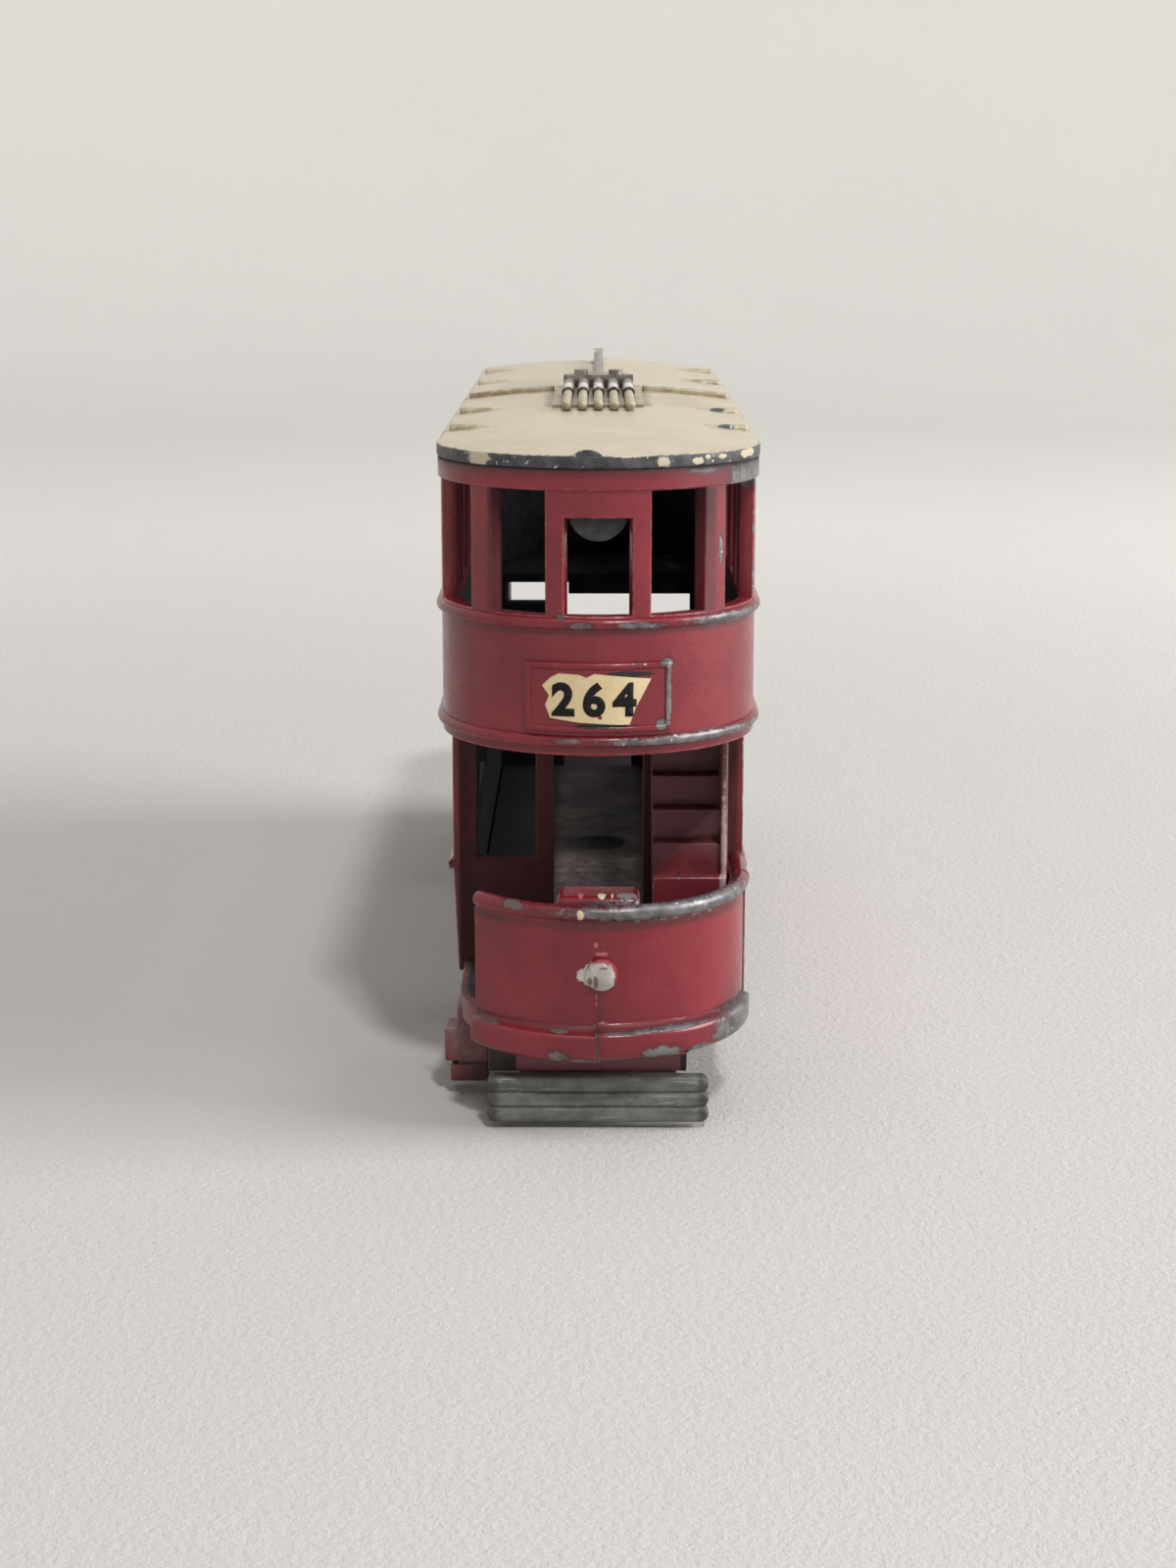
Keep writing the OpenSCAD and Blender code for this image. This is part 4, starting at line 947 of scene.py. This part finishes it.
gear_paint, tree, shader = new_finish("rubbed_trolley_metal")
at, skin = surroundings(tree)
x, y, _ = put(tree, "SeparateXYZ", {"Vector": at["Point"]}).outputs
on_pole = rise(tree, y, FOOT_BACK - 0.5, FOOT_BACK + 1.0)
uneven_up = uneven(tree, uneven(tree, at["Up"], on_pole, 0.4), skin["Ragged"], 0.5)
uneven_y = uneven(tree, y, skin["Ragged"], 0.8)
among_rods = rise(tree, aside(tree, x), 2.5, 2.1)
rod_dirt = grade(tree, skin["Haze"], 0.2, 0.8)
cream = mixed(tree, both(tree, rod_dirt, among_rods), CREAM, STAIN)
on_foot = both(tree, rise(tree, uneven_up, 37.2, 36.85), grade(tree, skin["Haze"], 0.3, 0.7))
# Stains on the foot, and dirt with painted shade between the rods.
cream = mixed(tree, on_foot, cream, mixed(tree, among_rods, STAIN, GEAR_DIRT_AND_SHADE))
dirty_grey = mixed(tree, skin["Haze"], GEAR_GREY, GEAR_GREY_DIRTY)
behind_sleeves = rise(tree, uneven_y, SLEEVE_BACK - 1.0, SLEEVE_BACK)
rubbed_top = mixed(tree, behind_sleeves, GEAR_BRIGHT_RUB_AND_HIGHLIGHT, dirty_grey)
# The sleeve tops are rubbed bright and lit further by a painted highlight; below the tops the sides are
# painted darker as shade.
bright = mixed(tree, rise(tree, uneven_up, 37.15, 37.4), GEAR_DIRT_AND_SHADE, rubbed_top)
past_front = rise(tree, uneven_y, SLEEVE_FRONT - 0.35, SLEEVE_FRONT - 0.05)
bare = both(tree, past_front, among_rods, rise(tree, at["Up"], 36.76, 36.82))
gear = mixed(tree, bare, cream, bright)
# A painted shadow at the front end of each sleeve.
step_shade = both(tree, between(tree, uneven_y, SLEEVE_FRONT - 0.2, SLEEVE_FRONT + 0.05, 0.1), 0.75)
feed(tree, shader.inputs["Base Color"], mixed(tree, step_shade, gear, SOOT_AND_SHADE))
feed(tree, shader.inputs["Metallic"], both(tree, bare, 0.6))
feed(tree, shader.inputs["Roughness"], grade(tree, skin["Haze"], 0.36, 0.56))
rough_up(tree, shader, skin["Height"], 0.02)
for node in ("trolley_base", "trolley_pole"):
    refinish(node, gear_paint)
print("trolley finish:", gear_paint.name)

# %% [markdown]
# The base plate, the lifeguards and the rivets are unpainted zinc, dulled to a dark grey with brown
# dirt. One function makes all three from two greys, with scratches where they are wanted.

# %% Dull zinc and the rivets
ZINC_SPECK = (0.02, 0.017, 0.014, 1)
ZINC_SCRATCH = (0.42, 0.42, 0.4, 1)
RIVET_DARK = (0.09, 0.09, 0.088, 1)
RIVET_LIGHT = (0.2, 0.2, 0.19, 1)


def dull_zinc(name, dark, light, scratches, clouds, roughness=0.42):
    """Unpainted zinc, blotched between two greys, with scratches along the bars."""
    material, tree, shader = new_finish(name)
    at, skin = surroundings(tree)
    blotches = rise(tree, noise(tree, at["Point"], clouds, 5.0, 0.6), 0.36, 0.68)
    grey = mixed(tree, blotches, dark, light)
    grey = mixed(tree, both(tree, skin["Specks"], 0.6), grey, ZINC_SPECK)
    drawn = put(tree, "Mapping", {"Vector": at["Point"], "Scale": (0.35, 4.0, 6.0)})
    lines = both(tree, rise(tree, noise(tree, drawn, 1.0, 3.0), 0.62, 0.68), scratches)
    rubbed = put(tree, "Attribute", attribute_name="rubbed").outputs["Fac"]
    edge = both(tree, rubbed, rise(tree, skin["Ragged"], 0.02, 0.14), scratches)
    marks = either(tree, lines, edge)
    feed(tree, shader.inputs["Base Color"], mixed(tree, marks, grey, ZINC_SCRATCH))
    feed(tree, shader.inputs["Metallic"], both(tree, marks, 0.5))
    feed(tree, shader.inputs["Roughness"], grade(tree, skin["Haze"], roughness, roughness + 0.2))
    rough_up(tree, shader, skin["Height"], 0.04)
    return material, tree, shader, at, skin


rivet_zinc = dull_zinc("dull_zinc_rivets", RIVET_DARK, RIVET_LIGHT, 0.3, 1.1)[0]
for end in ENDS:
    refinish(end + "_base_rivet", rivet_zinc)
print("rivet finish:", rivet_zinc.name)

# %% [markdown]
# The base plate is the saloon's floor. Behind the front doorway it is dusty, with painted light on it;
# beside the doorway and further in it is painted black as shade, and a painted shade darkens the ring
# round the hole in its middle.

# %% Base plate
PLATE_DARK = (0.05, 0.04, 0.037, 1)
PLATE_LIGHT = (0.13, 0.107, 0.1, 1)
FLOOR_DUST_AND_LIGHT = (0.62, 0.5, 0.46, 1)
HOLE_R = 1.8

plate_zinc, tree, shader, at, skin = dull_zinc("dull_zinc_base", PLATE_DARK, PLATE_LIGHT, 0.0, 0.35, 0.7)
on_top = rise(tree, at["Up"], 6.6, 6.85)
beside_door = rise(tree, aside(tree, at["Across"]), 2.2, 3.2)
_, y, _ = put(tree, "SeparateXYZ", {"Vector": at["Point"]}).outputs
front_half = rise(tree, y, -1.0, -6.0)
far_in = both(tree, outside_of(tree, front_half), 0.25)
# Dust behind the doorway, with painted light on it.
dust_and_light_by_door = both(tree, front_half, grade(tree, skin["Haze"], 0.25, 1.0))
recolour(tree, shader, both(tree, on_top, dust_and_light_by_door), FLOOR_DUST_AND_LIGHT)
# Beside the doorway and further in, the floor is painted black as shade.
recolour(tree, shader, both(tree, on_top, either(tree, beside_door, far_in)), INSIDE_SHADE)
flat_point = put(tree, "VectorMath", {0: at["Point"], 1: (1, 1, 0)}, operation="MULTIPLY")
# A painted shade round the hole, so that it looks deep.
hole_shade = rise(tree, length(tree, flat_point), HOLE_R + 0.6, HOLE_R + 0.1)
recolour(tree, shader, both(tree, hole_shade, 0.9), SOOT_AND_SHADE)
base_plate.data.materials.append(plate_zinc)
print("base plate finish:", plate_zinc.name)

# %% [markdown]
# The lifeguard bars carry long bright scratches, because they meet every obstacle first, and soot lies
# in their grooves and in streaks along them; the bars are also darker towards their ends.

# %% Finish of the lifeguards
GUARD_DARK = (0.105, 0.105, 0.1, 1)
GUARD_LIGHT = (0.17, 0.17, 0.162, 1)
GROOVE = 0.06

guard_zinc, tree, shader, at, skin = dull_zinc(
    "dull_zinc_lifeguard", GUARD_DARK, GUARD_LIGHT, 0.5, 1.1, 0.5)
reach = uneven(tree, aside(tree, at["Across"]), skin["Ragged"], 0.6)
# Darker towards the ends of the bars.
dark_ends_and_grooves = [rise(tree, reach, guard_high.x - 0.75, guard_high.x - 0.35)]
wavy_up = uneven(tree, at["Up"], skin["Ragged"], 0.3)
for bar in range(1, BARS):
    seam = guard_low.z + bar * BAR_PITCH + (BAR_H - BAR_PITCH) / 2
    dark_ends_and_grooves.append(between(tree, wavy_up, seam - GROOVE, seam + GROOVE, GROOVE))
recolour(tree, shader, both(tree, either(tree, *dark_ends_and_grooves), 0.65), SOOT_AND_SHADE)
along_bars = put(tree, "Mapping", {"Vector": at["Point"], "Scale": (0.3, 2.0, 2.0)})
streaks = both(tree, rise(tree, noise(tree, along_bars, 1.0, 4.0), 0.5, 0.66), 0.28)
recolour(tree, shader, streaks, SOOT_AND_SHADE)
for guard in (front_guard, rear_guard):
    guard.data.materials.append(guard_zinc)
print("dull castings done")

# %% [markdown]
# Wheels and axles turn, so their finish may not depend on where they stand on the tram: it reads only
# the piece's own coordinates, as a fine noise. The wheels are grey castings and the axles are drawn
# steel wire, both a little brighter where they are rubbed.

# %% Running gear
WHEEL_DARK = (0.15, 0.15, 0.15, 1)
WHEEL_LIGHT = (0.23, 0.23, 0.225, 1)
AXLE_DARK = (0.3, 0.29, 0.28, 1)
AXLE_LIGHT = (0.6, 0.6, 0.59, 1)


def turned_metal(name, dark, light, roughness):
    """Plain turned metal with fine noise and a few rubbed marks."""
    material, tree, shader = new_finish(name)
    point = own_point(tree)
    marks = noise(tree, point, 1.6, 5.0, 0.65)
    feed(tree, shader.inputs["Base Color"], mixed(tree, rise(tree, marks, 0.38, 0.68), dark, light))
    feed(tree, shader.inputs["Roughness"], grade(tree, marks, roughness, roughness + 0.25))
    rough_up(tree, shader, noise(tree, point, 6.0, 3.0), 0.02)
    shader.inputs["Metallic"].default_value = 0.8
    return material


wheel_zinc = turned_metal("cast_wheel_zinc", WHEEL_DARK, WHEEL_LIGHT, 0.34)
axle_steel = turned_metal("drawn_axle_steel", AXLE_DARK, AXLE_LIGHT, 0.18)
for end in ENDS:
    refinish(end + "_axle", axle_steel)
    refinish(end + "_left_wheel", wheel_zinc)
    refinish(end + "_right_wheel", wheel_zinc)
print("running gear done")

# %% [markdown]
# The headlamp is a boss dabbed with silver paint, uneven and a little yellowed, with brown runs. The dab
# misses a little of the boss, which stays red there.

# %% Headlamps
SILVER_DULL = (0.38, 0.36, 0.32, 1)
SILVER = (0.6, 0.58, 0.54, 1)
BROWN_RUN = (0.12, 0.05, 0.04, 1)
LAMP_FRONT = {"middle": -39.0, "depth": 2.0}

lamp_paint, tree, shader = new_finish("dabbed_silver")
at, skin = surroundings(tree)
runs = [
    (-0.1, lamp_z - 0.35, 0.12, 0.35), (-0.42, lamp_z - 0.3, 0.12, 0.2), (0.3, lamp_z + 0.42, 0.24, 0.07)]
run = chips(tree, at, skin, on_front(runs, **LAMP_FRONT))
silver = mixed(tree, skin["Haze"], SILVER_DULL, SILVER)
silver = mixed(tree, both(tree, run, 0.8), silver, BROWN_RUN)
dab_at = [(lamp_x - 0.08, lamp_z - 0.06, 0.84, 0.78)]
dab = chips(tree, at, skin, on_front(dab_at, **LAMP_FRONT), tear=1.0)
feed(tree, shader.inputs["Base Color"], mixed(tree, dab, CRIMSON, silver))
feed(tree, shader.inputs["Roughness"], grade(tree, skin["Haze"], 0.34, 0.54))
shader.inputs["Metallic"].default_value = 0.15
rough_up(tree, shader, skin["Height"], 0.12)
for end in ENDS:
    refinish(end + "_headlamp", lamp_paint)
print("lamp finish:", lamp_paint.name)

# %% [markdown]
# The label is aged paper, with fibres that a fine noise can stand for, and worn through to the paint in
# one spot.

# %% Label paper
PAPER_DARK = (0.7, 0.54, 0.31, 1)
PAPER_PALE = (0.76, 0.63, 0.41, 1)
PAPER_FIBRE = (0.6, 0.42, 0.2, 1)
WORN_SPOT = [(0.1, 22.75, 0.12, 0.12)]

paper, tree, shader = new_finish("aged_label_paper")
at, skin = surroundings(tree)
fibres = noise(tree, at["Point"], 9.0, 4.0, 0.7)
tint = mixed(tree, skin["Haze"], PAPER_DARK, PAPER_PALE)
tint = mixed(tree, both(tree, rise(tree, fibres, 0.45, 0.75), 0.35), tint, PAPER_FIBRE)
worn_through = chips(tree, at, skin, on_front(WORN_SPOT, middle=-38.5, depth=2.0))
feed(tree, shader.inputs["Base Color"], mixed(tree, worn_through, tint, CRIMSON))
feed(tree, shader.inputs["Roughness"], grade(tree, fibres, 0.6, 0.9))
rough_up(tree, shader, fibres, 0.015)
for end in ENDS:
    refinish(end + "_destination_label", paper)
print("lamps and labels done")

# %% [markdown]
# The label shows a plain route number, its last digit cut off by the tear. It starts as a text object,
# becomes a mesh, is cut along the tear, and is sliced upright so that it can follow the curve of the
# paper. A thin Solidify makes the ink stand on the paper without a gap.

# %% Printed number
NUMBER = "264"
DIGIT_SIZE, DIGIT_BOLD, DIGIT_GAP, DIGIT_CURVE = 2.25, 0.1, 1.4, 8
NUMBER_X, NUMBER_Z = -2.35, 22.9
TEAR_X, TEAR_Z, TEAR_ACROSS, TEAR_DOWN = 2.62, 24.7, 0.9, -0.42
SLICE, SLICES = 0.2, 14
INK_T, INK_OUT = 0.024, 0.4
label_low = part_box("front_destination_label")[0] / MM
PAPER_R = -label_low.y - END_Y

bpy.ops.object.select_all(action="DESELECT")
bpy.ops.object.text_add()
number = bpy.context.object
number.name = "front_label_number"
number.data.body = NUMBER
number.data.size = DIGIT_SIZE * MM
number.data.offset = DIGIT_BOLD * MM
number.data.space_character = DIGIT_GAP
number.data.resolution_u = DIGIT_CURVE
bpy.ops.object.convert(target="MESH")
number.rotation_euler.x = math.radians(90)
bpy.ops.object.transform_apply(rotation=True)
number.location = (NUMBER_X * MM, 0, NUMBER_Z * MM)
bpy.ops.object.transform_apply(location=True)
bpy.ops.object.mode_set(mode="EDIT")
bpy.ops.mesh.select_all(action="SELECT")
bpy.ops.mesh.remove_doubles(threshold=MERGE)
tear_at = (TEAR_X * MM, 0, TEAR_Z * MM)
bpy.ops.mesh.bisect(plane_co=tear_at, plane_no=(TEAR_ACROSS, 0, TEAR_DOWN), clear_outer=True)
for step in range(-SLICES, SLICES + 1):
    bpy.ops.mesh.select_all(action="SELECT")
    bpy.ops.mesh.bisect(plane_co=(step * SLICE * MM, 0, 0), plane_no=(1, 0, 0))
bpy.ops.object.mode_set(mode="OBJECT")
for corner in number.data.vertices:
    corner.co.y = -END_Y * MM - math.sqrt((PAPER_R * MM) ** 2 - corner.co.x ** 2)
bpy.ops.object.modifier_add(type="SOLIDIFY")
number.modifiers[-1].thickness = INK_T * MM
number.modifiers[-1].offset = INK_OUT
bpy.ops.object.modifier_apply(modifier=number.modifiers[-1].name)
print("printed number:", len(number.data.polygons), "faces")

# %% [markdown]
# The ink is a matt black, a little faded in places. The rear label carries the same number, as a copy
# turned by half a turn about the tram's middle.

# %% Ink and the rear number
INK_BLACK = (0.012, 0.011, 0.011, 1)
INK_FADED = (0.16, 0.12, 0.08, 1)

ink, tree, shader = new_finish("printed_black_ink")
skin = put(tree, casting_skin).outputs
faded = both(tree, rise(tree, skin["Ragged"], 0.05, 0.3), 0.12)
feed(tree, shader.inputs["Base Color"], mixed(tree, faded, INK_BLACK, INK_FADED))
feed(tree, shader.inputs["Roughness"], grade(tree, skin["Haze"], 0.6, 0.8))
shader.inputs["Specular IOR Level"].default_value = 0.15
number.data.materials.append(ink)
bpy.ops.object.duplicate()
rear_number = bpy.context.object
rear_number.name = "rear_label_number"
rear_number.rotation_euler.z = math.radians(180)
bpy.ops.object.transform_apply(rotation=True)
for piece in (number, rear_number):
    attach(piece, "tram_body")
print("ink finish:", ink.name)

# %% [markdown]
# A plain white cloth lies under the tram and rises far behind it. It is made as one disc whose rim is
# extruded outwards and up in a few steps, so that no line shows where floor and backdrop meet from any
# side.

# %% Cloth
CLOTH_R, CLOTH_SIDES = 0.42, 96
SWEEP_R, RISE_STEPS = 0.25, 10
CLOTH_NEAR = (0.55, 0.535, 0.515, 1)
CLOTH_FAR = (0.8, 0.775, 0.74, 1)

bpy.ops.object.select_all(action="DESELECT")
bpy.ops.mesh.primitive_circle_add(vertices=CLOTH_SIDES, radius=CLOTH_R, fill_type="NGON")
cloth = bpy.context.object
cloth.name = "cloth"
bpy.ops.object.mode_set(mode="EDIT")
bpy.ops.mesh.select_mode(type="EDGE")
bpy.ops.mesh.select_all(action="DESELECT")
rim = bmesh.from_edit_mesh(cloth.data)
for edge in rim.edges:
    edge.select_set(edge.is_boundary)
bmesh.update_edit_mesh(cloth.data)
for step in range(RISE_STEPS):
    before, turn = (math.radians(90) * count / RISE_STEPS for count in (step, step + 1))
    grow = (CLOTH_R + SWEEP_R * math.sin(turn)) / (CLOTH_R + SWEEP_R * math.sin(before))
    up_by = SWEEP_R * (math.cos(before) - math.cos(turn))
    bpy.ops.mesh.extrude_edges_move()
    bpy.ops.transform.resize(value=(grow, grow, 1))
    bpy.ops.transform.translate(value=(0, 0, up_by))
bpy.ops.object.mode_set(mode="OBJECT")
bpy.ops.object.shade_smooth_by_angle(angle=math.radians(40))
cloth_weave, tree, shader = new_finish("white_cloth")
point = own_point(tree)
# The cloth is painted paler away from the tram, as painted light on the far floor and the backdrop.
far = rise(tree, length(tree, point), 50.0, 260.0)
paler = sums(tree, "ADD", both(tree, far, 0.8), both(tree, noise(tree, point, 0.012, 3.0), 0.2))
feed(tree, shader.inputs["Base Color"], mixed(tree, paler, CLOTH_NEAR, CLOTH_FAR))
shader.inputs["Roughness"].default_value = 0.9
rough_up(tree, shader, noise(tree, point, 2.2, 4.0, 0.7), 0.12)
cloth.data.materials.append(cloth_weave)
print("cloth radius in m:", CLOTH_R + SWEEP_R)

# %% [markdown]
# The light is a lamp high above the viewer's right shoulder, a large soft window on the right, a wide
# soft lamp overhead and the pale room. The world is brighter to the camera and to reflections than as a
# lamp, so that gloss shows the pale room without more light on the paint.

# %% Light
ROOM_COLOUR = (0.96, 0.95, 0.94, 1)
ROOM_LIGHT, ROOM_SEEN = 0.11, 0.73
tram_middle = (cad_box[0] + cad_box[1]) / 2


def area_lamp(name, place, size, watts):
    """A square lamp that faces the middle of the tram."""
    lamp = bpy.data.lights.new(name, "AREA")
    lamp.size = size
    lamp.energy = watts
    holder = bpy.data.objects.new(name, lamp)
    holder.location = place
    holder.rotation_euler = (holder.location - tram_middle).to_track_quat("Z", "Y").to_euler()
    bpy.context.scene.collection.objects.link(holder)


area_lamp("key_lamp", (0.38, -1.16, 1.62), 0.16, 16.3)
area_lamp("ceiling", (0.0, 0.05, 0.9), 0.6, 2.5)
area_lamp("window", (0.45, -0.06, 0.22), 0.3, 2.6)
world = bpy.data.worlds.new("pale_room")
bpy.context.scene.world = world
world.use_nodes = True
tree = world.node_tree
ray = put(tree, "LightPath").outputs
seen = either(tree, ray["Is Camera Ray"], ray["Is Glossy Ray"], ray["Is Transmission Ray"])
room = tree.nodes["Background"]
room.inputs["Color"].default_value = ROOM_COLOUR
feed(tree, room.inputs["Strength"], grade(tree, seen, ROOM_LIGHT, ROOM_SEEN))
print("lamps:", [lamp.name for lamp in bpy.data.lights])
